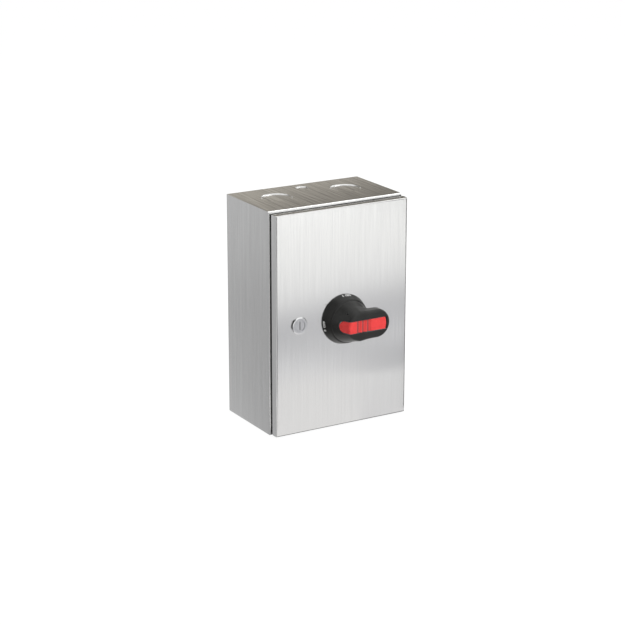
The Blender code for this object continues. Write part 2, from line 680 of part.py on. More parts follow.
def screw_slot(face, radius, outwards):
    """A driver slot across a screw's face; outwards is the side of Y that the face looks to."""
    x, y, z = face
    near = y - outwards * SCREW_SLOT_DEPTH
    far = y + outwards * SCREW_SLOT_DEPTH
    return block(bmesh.new(), (x - 2 * radius, min(near, far), z - SCREW_SLOT_WIDTH / 2),
                 (x + 2 * radius, max(near, far), z + SCREW_SLOT_WIDTH / 2))


def hub_radius(height):
    """Radius of the grip's conical hub at a height in front of the door."""
    share = (height - GRIP_UNDERSIDE) / (GRIP_HEIGHT - GRIP_UNDERSIDE)
    return HUB_RADIUS + (HUB_TOP_RADIUS - HUB_RADIUS) * share


def lever_reach(angle, inset):
    """Distance from the axis to the lever's outline, two straight sides and a round tip."""
    half_width = LEVER_HALF_WIDTH - inset
    tip_centre = LEVER_LENGTH - LEVER_HALF_WIDTH
    along, across = math.cos(angle), abs(math.sin(angle))
    if along <= 0.0:
        return half_width * (1.0 + along)
    if half_width * along <= tip_centre * across:
        return half_width / across
    return tip_centre * along + math.sqrt(half_width ** 2 - (tip_centre * across) ** 2)


def grip_ring(height, radius, lever_inset=None):
    """One level of the grip: a circle, or the hub and the lever run together by a soft maximum."""
    ring = []
    for index in range(GRIP_POINTS):
        even = 2 * math.pi * index / GRIP_POINTS
        angle = even - GRIP_CROWDING * math.sin(even)
        reach = radius
        if lever_inset is not None:
            lever = lever_reach(angle, lever_inset)
            larger = max(radius, lever)
            smaller = min(radius, lever)
            reach = larger * (1.0 + (smaller / larger) ** LEVER_BLEND) ** (1.0 / LEVER_BLEND)
        ring.append(handle_point(reach * math.cos(angle), reach * math.sin(angle), height))
    return ring


def grip_form():
    """The grip's outer form: neck, conical hub, and the overhanging lever with a rounded top edge."""
    edge = GRIP_EDGE_RADIUS
    hub_edge = GRIP_UNDERSIDE + HUB_EDGE
    lever_start = LEVER_UNDERSIDE - LEVER_LOWER_EDGE
    lever_side = LEVER_UNDERSIDE + LEVER_LOWER_EDGE
    rings = [grip_ring(NECK_END, NECK_RADIUS), grip_ring(GRIP_UNDERSIDE, NECK_RADIUS),
             grip_ring(GRIP_UNDERSIDE, HUB_RADIUS - HUB_EDGE), grip_ring(hub_edge, hub_radius(hub_edge)),
             grip_ring(lever_start, hub_radius(lever_start)),
             grip_ring(LEVER_UNDERSIDE, hub_radius(LEVER_UNDERSIDE), LEVER_LOWER_EDGE),
             grip_ring(lever_side, hub_radius(lever_side), 0.0)]
    for inset, rise in arc((edge, 0.0), edge, math.pi, math.pi / 2, 4):
        height = GRIP_HEIGHT - edge + rise
        rings.append(grip_ring(height, hub_radius(height) - inset, inset))
    return loft(bmesh.new(), rings)


SLOPE = math.atan2(GRIP_HEIGHT - GRIP_UNDERSIDE, HUB_RADIUS - HUB_TOP_RADIUS)


def slope_outline(gap, along_press, press_angle):
    """Outline of the bar's bent end on the hub's slope, moved along a direction into the hub."""
    half = BAR_WIDTH / 2 + gap
    straight = BAR_SLOPE_LENGTH - BAR_WIDTH / 2
    round_end = arc((straight, 0.0), half, -math.pi / 2, math.pi / 2, 10)
    outline = [(-BAR_SLOPE_LENGTH / 2, -half)] + round_end + [(-BAR_SLOPE_LENGTH / 2, half)]
    points = []
    for down, across in outline:
        along = -BAR_FOLD - down * math.cos(SLOPE) + along_press * math.cos(press_angle)
        height = GRIP_HEIGHT - down * math.sin(SLOPE) - along_press * math.sin(press_angle)
        points.append(handle_point(along, across, height))
    return points


def handle_grip():
    """Turning grip with a pocket for the padlock bar and a hole for the interlock release screw."""
    grip = part("handle_grip", grip_form(), BLACK_PLASTIC, "handle_axis")
    half = BAR_WIDTH / 2 + SLIDE_GAP
    floor = GRIP_HEIGHT - BAR_DEPTH - 2 * SLIDE_GAP
    flat = block(bmesh.new(), handle_point(-BAR_PIVOT, -half, 2 * GRIP_HEIGHT),
                 handle_point(BAR_TIP + BAR_TIP_GAP, half, floor))
    cut(grip, "bar_pocket", flat)
    depths = (-POCKET_PRESS_DEPTH, POCKET_PRESS_DEPTH)
    cut(grip, "bar_press_pocket", loft(bmesh.new(), [
        slope_outline(SLIDE_GAP, press, POCKET_PRESS_ANGLE) for press in depths]))
    reach = BAR_WIDTH / 2 + BAR_TRUNNION_LENGTH + SLIDE_GAP
    pivot_height = GRIP_HEIGHT - BAR_PIVOT_DEPTH
    cut(grip, "bar_trunnion_sockets", rod(
        bmesh.new(), handle_point(-BAR_PIVOT, -reach, pivot_height),
        handle_point(-BAR_PIVOT, reach, pivot_height), BAR_TRUNNION_RADIUS + TURN_GAP, 16))
    cut(grip, "release_hole", rod(bmesh.new(), release_point(-RELEASE_SINK - RELEASE_LENGTH - SEAT_GAP),
                                  release_point(RELEASE_LENGTH), RELEASE_RADIUS + TURN_GAP, 16))


def release_point(outwards):
    """A point on the release screw's axis, square to the hub's slope and that far outside it."""
    from_axis = hub_radius(RELEASE_HEIGHT) + outwards * math.sin(SLOPE)
    return handle_point(from_axis * math.cos(RELEASE_ANGLE), from_axis * math.sin(RELEASE_ANGLE),
                        RELEASE_HEIGHT + outwards * math.cos(SLOPE))


def release_screw():
    """Small socket screw, sunk in the hub, that frees the door interlock."""
    screw = part("release_screw", rod(bmesh.new(), release_point(-RELEASE_SINK - RELEASE_LENGTH),
                                      release_point(-RELEASE_SINK), RELEASE_RADIUS, 16),
                 ZINC_PLATED, "release_axis")
    cut(screw, "release_socket", rod(bmesh.new(), release_point(-RELEASE_SINK - RELEASE_SOCKET_DEPTH),
                                     release_point(0.0), RELEASE_SOCKET_RADIUS, 6))


def padlock_bar():
    """Red bar flush with the grip: a ribbed flat and an end bent down the hub, hung on two trunnions."""
    half = BAR_WIDTH / 2
    left = handle_point(-BAR_PIVOT - BAR_SLOPE_THICKNESS / 2, -half, 2 * GRIP_HEIGHT)
    bar = part("padlock_bar", block(
        bmesh.new(), left, handle_point(BAR_TIP, half, GRIP_HEIGHT - BAR_DEPTH)), RED_PLASTIC, "bar_axis")
    square_to_slope = math.pi / 2 - SLOPE
    depths = (-BAR_SLOPE_LENGTH / 2, BAR_SLOPE_THICKNESS)
    join(bar, "bar_bent_end", loft(bmesh.new(), [
        slope_outline(-BAR_END_INSET, press, square_to_slope) for press in depths]))
    combine(bar, tool("grip_outer_form", grip_form()), "INTERSECT")
    pivot_height = GRIP_HEIGHT - BAR_PIVOT_DEPTH
    reach = half + BAR_TRUNNION_LENGTH
    join(bar, "bar_trunnions", rod(
        bmesh.new(), handle_point(-BAR_PIVOT, -reach, pivot_height),
        handle_point(-BAR_PIVOT, reach, pivot_height), BAR_TRUNNION_RADIUS, 16))
    cuts = bmesh.new()
    for number in range(BAR_GROOVES):
        along = BAR_GROOVE_CENTRE + (number - (BAR_GROOVES - 1) / 2) * BAR_GROOVE_PITCH
        height = GRIP_HEIGHT + BAR_GROOVE_RADIUS - BAR_GROOVE_DEPTH
        rod(cuts, handle_point(along, -BAR_WIDTH, height), handle_point(along, BAR_WIDTH, height),
            BAR_GROOVE_RADIUS, 16)
    hole_height = GRIP_HEIGHT - PADLOCK_HOLE_DEPTH
    rod(cuts, handle_point(PADLOCK_HOLE_FROM_AXIS, -BAR_WIDTH, hole_height),
        handle_point(PADLOCK_HOLE_FROM_AXIS, BAR_WIDTH, hole_height), PADLOCK_HOLE_DIAMETER / 2, 20)
    cut(bar, "bar_grooves_and_padlock_hole", cuts)


def shaft_coupler():
    """Flanged sleeve behind the grip; its square socket takes the switch shaft when the door shuts."""
    end = -COUPLER_BEHIND_DOOR_FRONT
    sleeve = turned("shaft_coupler", [
        (0.0, COUPLER_FLANGE_TOP), (COUPLER_FLANGE_RADIUS, COUPLER_FLANGE_TOP),
        (COUPLER_FLANGE_RADIUS, COUPLER_FLANGE_BACK), (COUPLER_RADIUS, COUPLER_FLANGE_BACK),
        (COUPLER_RADIUS, end), (0.0, end)], handle_point(0.0, 0.0, 0.0), ZINC_PLATED, "handle_axis")
    half = SHAFT_SIDE / 2 + SHAFT_CLEARANCE
    cut(sleeve, "coupler_socket", block(
        bmesh.new(), handle_point(-half, -half, 2 * COUPLER_FLANGE_TOP), handle_point(half, half, 2 * end)))


def switch_shaft():
    """Square shaft from the switch rotor to the coupler."""
    half = SHAFT_SIDE / 2
    tip = DOOR_FRONT + SHAFT_BEHIND_DOOR_FRONT
    shaft = part("switch_shaft", block(
        bmesh.new(), (HANDLE_X - half, tip, HANDLE_Z - half),
        (HANDLE_X + half, ROTOR_BACK, HANDLE_Z + half)), ZINC_PLATED, "shaft_axis")
    round_edges(shaft, SHAFT_CHAMFER)


def mounting_plate():
    """Plate on the welded studs, with a nut on each."""
    low = (-PLATE_WIDTH / 2, PLATE_FRONT, -PLATE_HEIGHT / 2)
    high = (PLATE_WIDTH / 2, PLATE_BACK, PLATE_HEIGHT / 2)
    plate = part("mounting_plate", block(bmesh.new(), low, high), ZINC_PLATED)
    bore = STUD_RADIUS + SEAT_GAP
    holes = bmesh.new()
    for x, z in corners(STUD_SPACING_X, STUD_SPACING_Z):
        rod(holes, (x, PLATE_BACK + SHEET, z), (x, PLATE_FRONT - 2 * NUT_HEIGHT, z), bore, 16)
    stud_holes = tool("stud_holes", holes)
    combine(plate, stud_holes, "DIFFERENCE")
    nut_back = PLATE_FRONT - SEAT_GAP
    for number, (x, z) in enumerate(corners(STUD_SPACING_X, STUD_SPACING_Z), 1):
        nut = part(f"plate_nut_{number}", rod(
            bmesh.new(), (x, nut_back, z), (x, nut_back - NUT_HEIGHT, z), NUT_ACROSS / math.sqrt(3.0), 6),
            ZINC_PLATED)
        combine(nut, stud_holes, "DIFFERENCE")


def pole_places():
    """X of each pole, left to right."""
    return [HANDLE_X + (number - (POLES - 1) / 2) * POLE_PITCH for number in range(POLES)]


def lug(name, suffix, x, low_z, back):
    """Terminal lug: an aluminium block with a wire hole along Z and a clamping screw from the front."""
    front = back - LUG_DEPTH
    middle = low_z + LUG_HEIGHT / 2
    wire = back - LUG_WIRE_FROM_BACK
    piece = part(f"{name}_lug{suffix}", block(
        bmesh.new(), (x - LUG_WIDTH / 2, front, low_z),
        (x + LUG_WIDTH / 2, back, low_z + LUG_HEIGHT)), ALUMINIUM)
    round_edges(piece, LUG_EDGE)
    cut(piece, f"{name}_wire_hole{suffix}", rod(
        bmesh.new(), (x, wire, low_z - LUG_HEIGHT), (x, wire, low_z + 2 * LUG_HEIGHT), LUG_WIRE_RADIUS, 16))
    cut(piece, f"{name}_screw_hole{suffix}", rod(
        bmesh.new(), (x, wire, middle), (x, front - LUG_DEPTH, middle), LUG_SCREW_RADIUS + SEAT_GAP, 16))
    tip = (x, wire - LUG_WIRE_RADIUS / 2, middle)
    face = (x, front - LUG_SCREW_PROUD, middle)
    screw = part(f"{name}_screw{suffix}", rod(bmesh.new(), tip, face, LUG_SCREW_RADIUS, 16), ZINC_PLATED)
    cut(screw, f"{name}_screw_slot{suffix}", screw_slot(face, LUG_SCREW_RADIUS, -1))


def switch():
    """Moulded switch with a lug pocket for each line, a cover, and the rotor that the shaft turns."""
    left = HANDLE_X - SWITCH_WIDTH / 2
    right = HANDLE_X + SWITCH_WIDTH / 2
    base = part("switch_base", block(
        bmesh.new(), (left, SWITCH_FRONT, SWITCH_BOTTOM), (right, SWITCH_BACK, SWITCH_TOP)), GREY_PLASTIC)
    round_edges(base, MOULDED_EDGE)
    pocket_floor = SWITCH_TOP - LUG_POCKET_HEIGHT
    pocket_back = SWITCH_FRONT + LUG_POCKET_DEPTH
    cuts = bmesh.new()
    for x in pole_places():
        block(cuts, (x - LUG_POCKET_WIDTH / 2, SWITCH_FRONT - SHEET, pocket_floor),
              (x + LUG_POCKET_WIDTH / 2, pocket_back, SWITCH_TOP + LUG_POCKET_HEIGHT))
        block(cuts, (x - CLIP_STRIP_WIDTH / 2 - SEAT_GAP, STRIP_FRONT - SEAT_GAP,
                     SWITCH_BOTTOM - CLIP_TAIL_IN_SWITCH),
              (x + CLIP_STRIP_WIDTH / 2 + SEAT_GAP, STRIP_BACK + SEAT_GAP,
               SWITCH_BOTTOM + CLIP_TAIL_IN_SWITCH + SEAT_GAP))
    cut(base, "lug_pockets_and_clip_slots", cuts)
    for number, x in enumerate(pole_places(), 1):
        lug("line", f"_{number}", x, pocket_floor + SEAT_GAP, pocket_back - SEAT_GAP)

    cover_top = pocket_floor - SEAT_GAP
    cover = part("switch_cover", block(
        bmesh.new(), (HANDLE_X - COVER_WIDTH / 2, COVER_BACK - COVER_THICKNESS, cover_top - COVER_HEIGHT),
        (HANDLE_X + COVER_WIDTH / 2, COVER_BACK, cover_top)), BLACK_PLASTIC)
    round_edges(cover, MOULDED_EDGE)
    cut(cover, "rotor_opening", rod(
        bmesh.new(), (HANDLE_X, COVER_BACK + SHEET, HANDLE_Z),
        (HANDLE_X, COVER_BACK - 2 * COVER_THICKNESS, HANDLE_Z), ROTOR_RADIUS + TURN_GAP, 32))

    step = ROTOR_LENGTH - COVER_THICKNESS
    rotor = turned("switch_rotor", [
        (0.0, ROTOR_LENGTH), (ROTOR_RADIUS - step, ROTOR_LENGTH), (ROTOR_RADIUS, COVER_THICKNESS),
        (ROTOR_RADIUS, 0.0), (0.0, 0.0)], (HANDLE_X, ROTOR_BACK, HANDLE_Z), BRASS, "shaft_axis", steps=32)
    half = SHAFT_SIDE / 2 + SEAT_GAP
    cut(rotor, "rotor_square", block(
        bmesh.new(), (HANDLE_X - half, ROTOR_BACK - 2 * ROTOR_LENGTH, HANDLE_Z - half),
        (HANDLE_X + half, ROTOR_BACK + ROTOR_LENGTH, HANDLE_Z + half)))


def fuse_carrier():
    """Moulded fuse base with barriers, and a clip pair, a cartridge fuse and a load lug for each pole."""
    left = HANDLE_X - SWITCH_WIDTH / 2
    base = part("fuse_base", block(
        bmesh.new(), (left, FUSE_BASE_FRONT, FUSE_BASE_BOTTOM),
        (left + SWITCH_WIDTH, SWITCH_BACK, FUSE_BASE_TOP)), GREY_PLASTIC)
    barriers = bmesh.new()
    for number in range(POLES + 1):
        x = HANDLE_X + (number - POLES / 2) * POLE_PITCH
        half = BARRIER_THICKNESS / 2
        block(barriers, (x - half, FUSE_BASE_FRONT - BARRIER_DEPTH, FUSE_BASE_BOTTOM + SEAT_GAP),
              (x + half, FUSE_BASE_FRONT + BARRIER_THICKNESS, FUSE_BASE_TOP - SEAT_GAP))
    join(base, "fuse_barriers", barriers)
    lug_low = FUSE_BOTTOM - LOAD_LUG_DROP - LUG_HEIGHT
    for number, x in enumerate(pole_places(), 1):
        upper_middle = FUSE_TOP - FERRULE_LENGTH / 2
        lower_middle = FUSE_BOTTOM + FERRULE_LENGTH / 2
        fuse_clip(f"fuse_clip_upper_{number}", x, upper_middle, upper_middle - CLIP_HEIGHT / 2,
                  SWITCH_BOTTOM + CLIP_TAIL_IN_SWITCH)
        fuse_clip(f"fuse_clip_lower_{number}", x, lower_middle, lug_low, lower_middle + CLIP_HEIGHT / 2)
        lug("load", f"_{number}", x, lug_low, STRIP_FRONT - SEAT_GAP)
        barrel_top = FUSE_TOP - FERRULE_LENGTH
        barrel_bottom = FUSE_BOTTOM + FERRULE_LENGTH
        turned(f"fuse_{number}", [
            (0.0, FUSE_TOP), (FUSE_RADIUS - FUSE_EDGE, FUSE_TOP), (FUSE_RADIUS, FUSE_TOP - FUSE_EDGE),
            (FUSE_RADIUS, barrel_top), (FUSE_BARREL_RADIUS, barrel_top), (FUSE_BARREL_RADIUS, barrel_bottom),
            (FUSE_RADIUS, barrel_bottom), (FUSE_RADIUS, FUSE_BOTTOM + FUSE_EDGE),
            (FUSE_RADIUS - FUSE_EDGE, FUSE_BOTTOM), (0.0, FUSE_BOTTOM)], (x, FUSE_Y, 0.0), FUSE_TUBE,
            upright=True, steps=24)


def fuse_clip(name, x, middle, strip_low, strip_high):
    """Spring clip: a sprung C round the ferrule on a flat strip that carries the current on."""
    start = math.pi / 2 - CLIP_WRAP / 2
    end = math.pi / 2 + CLIP_WRAP / 2
    outline = arc((x, FUSE_Y), CLIP_OUTER_RADIUS, start, end, 16)
    outline += arc((x, FUSE_Y), CLIP_INNER_RADIUS, end, start, 16)
    rings = [[(px, py, z) for px, py in outline] for z in (middle - CLIP_HEIGHT / 2 + CLIP_SINK,
                                                           middle + CLIP_HEIGHT / 2 - CLIP_SINK)]
    clip = part(name, loft(bmesh.new(), rings), TINNED_COPPER)
    join(clip, name + "_strip", block(bmesh.new(), (x - CLIP_STRIP_WIDTH / 2, STRIP_FRONT, strip_low),
                                      (x + CLIP_STRIP_WIDTH / 2, STRIP_BACK, strip_high)))


joint_axis("door_axis", (HINGE_X, HINGE_Y, 0.0))
joint_axis("handle_axis", handle_point(0.0, 0.0, 0.0), "door_axis")
joint_axis("bar_axis", handle_point(-BAR_PIVOT, 0.0, GRIP_HEIGHT - BAR_PIVOT_DEPTH), "handle_axis")
joint_axis("release_axis", release_point(-RELEASE_SINK), "handle_axis")
joint_axis("latch_axis", (LATCH_X, DOOR_FRONT, LATCH_Z), "door_axis")
joint_axis("shaft_axis", (HANDLE_X, ROTOR_BACK, HANDLE_Z))

enclosure_body()
mounting_plate()
switch()
switch_shaft()
fuse_carrier()
lug("ground", "", GROUND_LUG_X, GROUND_LUG_Z - LUG_HEIGHT / 2, PLATE_FRONT - SEAT_GAP)
door()
door_gasket()
hinge("upper", HINGE_SPACING / 2)
hinge("lower", -HINGE_SPACING / 2)
latch()
handle_base()
handle_grip()
release_screw()
padlock_bar()
shaft_coupler()
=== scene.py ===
"""Looks of the fused disconnect switch: a brushed stainless enclosure with a black and red rotary handle."""
import json
from math import atan2, cos, pi, radians, sin, sqrt, tan

import bmesh
import bpy
from mathutils import Matrix, Vector

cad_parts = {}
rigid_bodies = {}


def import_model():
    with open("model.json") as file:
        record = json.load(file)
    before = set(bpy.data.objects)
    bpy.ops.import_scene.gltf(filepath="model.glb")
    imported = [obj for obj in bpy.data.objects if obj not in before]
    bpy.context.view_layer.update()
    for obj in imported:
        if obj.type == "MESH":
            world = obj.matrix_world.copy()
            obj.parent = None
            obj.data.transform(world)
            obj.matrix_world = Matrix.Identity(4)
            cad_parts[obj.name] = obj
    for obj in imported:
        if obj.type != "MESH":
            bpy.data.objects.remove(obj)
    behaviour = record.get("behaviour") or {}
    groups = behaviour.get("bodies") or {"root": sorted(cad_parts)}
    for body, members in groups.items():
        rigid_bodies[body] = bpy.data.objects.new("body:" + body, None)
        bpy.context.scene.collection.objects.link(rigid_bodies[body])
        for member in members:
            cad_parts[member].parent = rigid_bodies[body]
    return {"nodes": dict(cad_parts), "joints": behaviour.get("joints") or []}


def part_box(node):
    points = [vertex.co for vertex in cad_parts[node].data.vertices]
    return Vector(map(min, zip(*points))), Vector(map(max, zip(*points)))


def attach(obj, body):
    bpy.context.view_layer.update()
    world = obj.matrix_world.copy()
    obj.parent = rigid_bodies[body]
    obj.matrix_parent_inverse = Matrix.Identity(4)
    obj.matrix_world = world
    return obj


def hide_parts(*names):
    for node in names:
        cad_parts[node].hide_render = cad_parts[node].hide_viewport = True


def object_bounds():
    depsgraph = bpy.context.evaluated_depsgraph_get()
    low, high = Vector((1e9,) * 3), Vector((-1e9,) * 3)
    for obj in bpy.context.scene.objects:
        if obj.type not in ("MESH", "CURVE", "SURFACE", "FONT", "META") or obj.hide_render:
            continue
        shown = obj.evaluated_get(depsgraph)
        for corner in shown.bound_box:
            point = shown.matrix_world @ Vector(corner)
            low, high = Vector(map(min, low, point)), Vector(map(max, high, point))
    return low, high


for leftover in list(bpy.data.objects):
    bpy.data.objects.remove(leftover, do_unlink=True)

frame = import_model()
cad_box = [list(corner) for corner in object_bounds()]
joints = {joint["name"]: joint for joint in frame["joints"]}

# Camera
# A long lens in front of the door, to its left and above it, so that the door, the left wall and the top
# show together.
CAMERA_LENS = 113.39
CAMERA_SENSOR = 36.0
CAMERA_RANGE = (0.05, 60.0)
CAMERA_PLACE = (-1.272633, -2.214990, 0.758460)
CAMERA_TARGET = (-0.013937, -0.075, -0.005529)


def placed(name, data):
    """A new object in the scene."""
    thing = bpy.data.objects.new(name, data)
    bpy.context.scene.collection.objects.link(thing)
    return thing


def aimed(thing, place, target):
    """Stand a camera or a lamp at a place and turn it to a target."""
    thing.location = place
    thing.rotation_euler = (Vector(target) - Vector(place)).to_track_quat("-Z", "Y").to_euler()


lens = bpy.data.cameras.new("camera")
lens.lens = CAMERA_LENS
lens.sensor_width = CAMERA_SENSOR
lens.clip_start, lens.clip_end = CAMERA_RANGE
camera = placed("camera", lens)
aimed(camera, CAMERA_PLACE, CAMERA_TARGET)
bpy.context.scene.camera = camera
bpy.context.scene.view_settings.view_transform = "Standard"

# Studio
# A white paper floor under the enclosure, an even white surround, and grey cards outside the picture that
# only mirror surfaces see, as a photographer sets them round bright metal.
WHITE = (1.0, 1.0, 1.0, 1.0)
FLOOR_SIZE = 24.0
FLOOR_BELOW = 0.0008
FLOOR_GLOW = 0.95
FLOOR_PAPER = "#5C5C5C"
BOUNCE_PAPER = "#D8D8D6"
SURROUND_LIGHT = 0.46
CARD_LIFT = 0.0003
DOOR_FOOT = -0.130
FLAG_HALF = 0.15
FLAG_TONE = "#101010"
# Cards that lie on the floor: name, corners, direction of the grading, and (metres along it, tone) stops.
FLOOR_CARDS = (
    ("shade_before_left_of_door",
     ((-0.22, DOOR_FOOT), (0.03, DOOR_FOOT), (0.2466, -0.5), (-0.22, -0.5)), (0.0, -1.0),
     ((0.13, "#E4E3E3"), (0.29, "#E5E4E4"), (0.38, "#D9D9DB"), (0.45, "#CBCBCD"), (0.50, "#C4C4C7"))),
    ("shade_before_right_of_door",
     ((0.03, DOOR_FOOT), (1.2, DOOR_FOOT), (1.2, -0.5), (0.2466, -0.5)), (0.0, -1.0),
     ((0.13, "#DBDADB"), (0.29, "#DCDCDD"), (0.30, "#B8B8BB"), (0.36, "#BCBCBF"), (0.44, "#D8D8DA"),
      (0.50, "#C6C6C9"))),
    ("shade_far_before_door", ((-0.22, -0.5), (1.4, -0.5), (1.4, -1.1), (-0.22, -1.1)), (-0.17, -1.0),
     ((0.46, "#C7C7CA"), (0.53, "#B8B8BB"), (0.59, "#C6C6C9"), (0.605, "#F2F2F2"), (0.91, "#FFFFFE"))),
    ("shade_behind",
     ((-0.1, 0.02), (0.104, 0.02), (0.104, DOOR_FOOT), (1.6, DOOR_FOOT), (1.6, 2.4), (-0.1, 2.4)), (0.7, 0.7),
     ((0.0, "#9C9C9E"), (1.7, "#DCDCDD"))),
    ("shade_by_left_wall_foot",
     ((-0.347, DOOR_FOOT), (-0.1005, DOOR_FOOT), (-0.1005, 1.8), (-0.347, 1.8)), (2.07, 1.0),
     ((-0.411, "#A3A3A4"), (-0.207, "#BFBFC0"))),
    ("shade_beside_left_wall",
     ((-2.4, DOOR_FOOT), (-0.347, DOOR_FOOT), (-0.347, 1.8), (-2.4, 1.8)), (0.985, 1.0),
     ((-0.034, "#A3A3A4"), (0.254, "#CACACB"))),
    ("shade_under_door", ((-0.1, DOOR_FOOT), (0.104, DOOR_FOOT), (0.104, 0.0), (-0.1, 0.0)), (1.0, 0.0),
     ((-0.1, "#3A3A3A"), (0.104, "#3A3A3A"))),
    ("shade_front_left", ((-1.6, -1.1), (-0.23, -1.1), (-0.23, -0.16), (-1.6, -0.16)), (1.0, 0.0),
     ((-1.6, "#B8B8B9"), (-0.23, "#C2C2C3"))),
)
# Flags beside the door, which give its edges their dark lines: name, x, nearest y and farthest y.
FLAGS = (("flag_by_left_door_edge", -0.115, -0.260, -0.152),
         ("flag_by_right_door_edge", 0.112, -0.141, -0.120))
# Cards that stand, in the same form as those on the floor.
STANDING_CARDS = (
    ("shade_before_latch",
     ((-0.45, -1.0, 0.25), (-0.05, -1.1, 0.20), (-0.05, -1.1, 0.55), (-0.45, -1.0, 0.60)), (0.0, 0.0, 1.0),
     ((0.2, "#383838"), (0.6, "#383838"))),
    ("warm_shade_behind_top",
     ((-0.5, 0.15, 0.155), (0.9, 0.15, 0.155), (0.9, 0.15, 0.42), (-0.5, 0.15, 0.42)), (0.14, 0.0, 1.0),
     ((0.205, "#B3AEA5"), (0.232, "#A8A39A"), (0.252, "#8B867E"), (0.270, "#78746D"), (0.30, "#716D66"))),
    ("shade_far_right",
     ((0.9, -1.05, -0.15), (0.9, -0.32, -0.15), (0.9, -0.32, 0.60), (0.9, -1.05, 0.60)), (0.0, 1.0, 0.0),
     ((-1.05, "#242424"), (-0.32, "#303030"))),
    ("shade_upper_left",
     ((-0.95, -0.95, 1.0), (-0.30, -1.05, 1.0), (-0.20, -0.35, 1.35), (-0.85, -0.25, 1.35)), (0.0, 0.0, 1.0),
     ((1.0, "#262626"), (1.35, "#262626"))),
)
# Square soft boxes: name, place, target, side, watts, and whether the steel shows them. Only the rim light
# may show: the others would burn out the top and the folds.
LAMPS = (("key_light", (0.6, -1.5, 1.45), (0.0, -0.1, 0.0), 1.6, 20.0, False),
         ("rim_light", (0.83, 0.60, 1.0), (0.0, -0.15, 0.0), 1.1, 8.0, True),
         ("edge_light", (0.60, -0.40, 1.0), (0.0, -0.15, 0.0), 1.5, 14.0, False))


def linear(code):
    """An sRGB hex colour as the linear values that shaders take."""
    shares = [int(code[place:place + 2], 16) / 255.0 for place in (1, 3, 5)]
    return (*[share / 12.92 if share <= 0.04045 else ((share + 0.055) / 1.055) ** 2.4 for share in shares],
            1.0)


def add(tree, kind, inputs=None, **settings):
    """Add a node with its settings; an input is a value, or a socket that is linked to it."""
    made = tree.nodes.new(kind)
    for name, value in settings.items():
        setattr(made, name, value)
    for socket, value in (inputs or {}).items():
        if isinstance(value, bpy.types.NodeSocket):
            tree.links.new(value, made.inputs[socket])
        else:
            made.inputs[socket].default_value = value
    return made


def material_tree(name):
    """A new material and its empty node tree."""
    material = bpy.data.materials.new(name)
    material.use_nodes = True
    material.node_tree.nodes.clear()
    return material, material.node_tree


def surfaced(tree, inputs, kind="ShaderNodeBsdfPrincipled", output="ShaderNodeOutputMaterial"):
    """Add a shader with its inputs and make it the tree's surface."""
    add(tree, output, {"Surface": add(tree, kind, inputs).outputs[0]})


def maths(tree, operation, *values):
    """The result of a math node on sockets or numbers."""
    return add(tree, "ShaderNodeMath", dict(enumerate(values)), operation=operation).outputs[0]


def ranged(tree, value, given, wanted):
    """A value carried from one (low, high) range to another and held at its ends."""
    return add(tree, "ShaderNodeMapRange", {"Value": value, "From Min": given[0], "From Max": given[1],
                                            "To Min": wanted[0], "To Max": wanted[1]}).outputs[0]


def graded(tree, value, *stops):
    """A colour ramp through (position, hex colour) stops."""
    ramp = add(tree, "ShaderNodeValToRGB", {0: value})
    while len(ramp.color_ramp.elements) < len(stops):
        ramp.color_ramp.elements.new(1.0)
    for element, (position, colour) in zip(ramp.color_ramp.elements, stops):
        element.position = position
        element.color = linear(colour)
    return ramp.outputs[0]


def in_object(tree):
    """The place in the object's own coordinates."""
    return add(tree, "ShaderNodeTexCoord").outputs["Object"]


def seen_directly(tree):
    """1 on camera, mirror and glass rays, 0 on the rays that only carry light."""
    path = add(tree, "ShaderNodeLightPath").outputs
    mirrored = maths(tree, "MAXIMUM", path["Is Camera Ray"], path["Is Glossy Ray"])
    return maths(tree, "MAXIMUM", mirrored, path["Is Transmission Ray"])


def plane(name, corners, material):
    """A flat sheet of the studio through its corner points."""
    mesh = bpy.data.meshes.new(name)
    mesh.from_pydata(corners, [], [tuple(range(len(corners)))])
    mesh.materials.append(material)
    sheet = placed(name, mesh)
    return sheet


def card(name, corners, along, stops):
    """A studio card outside the picture, graded by the distance along a direction.

    Mirror surfaces show it, and it neither lights nor shades. Each stop is (metres, hex colour).
    """
    stock, tree = material_tree(name)
    distance = add(tree, "ShaderNodeVectorMath", {0: in_object(tree), 1: along}, operation="DOT_PRODUCT")
    first, last = stops[0][0], stops[-1][0]
    share = ranged(tree, distance.outputs["Value"], (first, last), (0.0, 1.0))
    tones = graded(tree, share, *[((metres - first) / (last - first), tone) for metres, tone in stops])
    surfaced(tree, {"Color": tones, "Strength": 1.0}, "ShaderNodeEmission")
    sheet = plane(name, corners, stock)
    for rays in ("camera", "diffuse", "shadow", "transmission"):
        setattr(sheet, f"visible_{rays}", False)


paper, tree = material_tree("white_paper_floor")
glow = add(tree, "ShaderNodeEmission", {"Color": WHITE, "Strength": FLOOR_GLOW})
shade = add(tree, "ShaderNodeBsdfDiffuse", {"Color": linear(FLOOR_PAPER)})
shown_paper = add(tree, "ShaderNodeAddShader", {0: glow.outputs[0], 1: shade.outputs[0]})
bounce = add(tree, "ShaderNodeBsdfDiffuse", {"Color": linear(BOUNCE_PAPER)})
surfaced(tree, {0: seen_directly(tree), 1: bounce.outputs[0], 2: shown_paper.outputs[0]},
         "ShaderNodeMixShader")
floor_z = cad_box[0][2] - FLOOR_BELOW
half = FLOOR_SIZE / 2
plane("floor", [(x * half, y * half, floor_z) for x, y in ((-1, -1), (1, -1), (1, 1), (-1, 1))], paper)

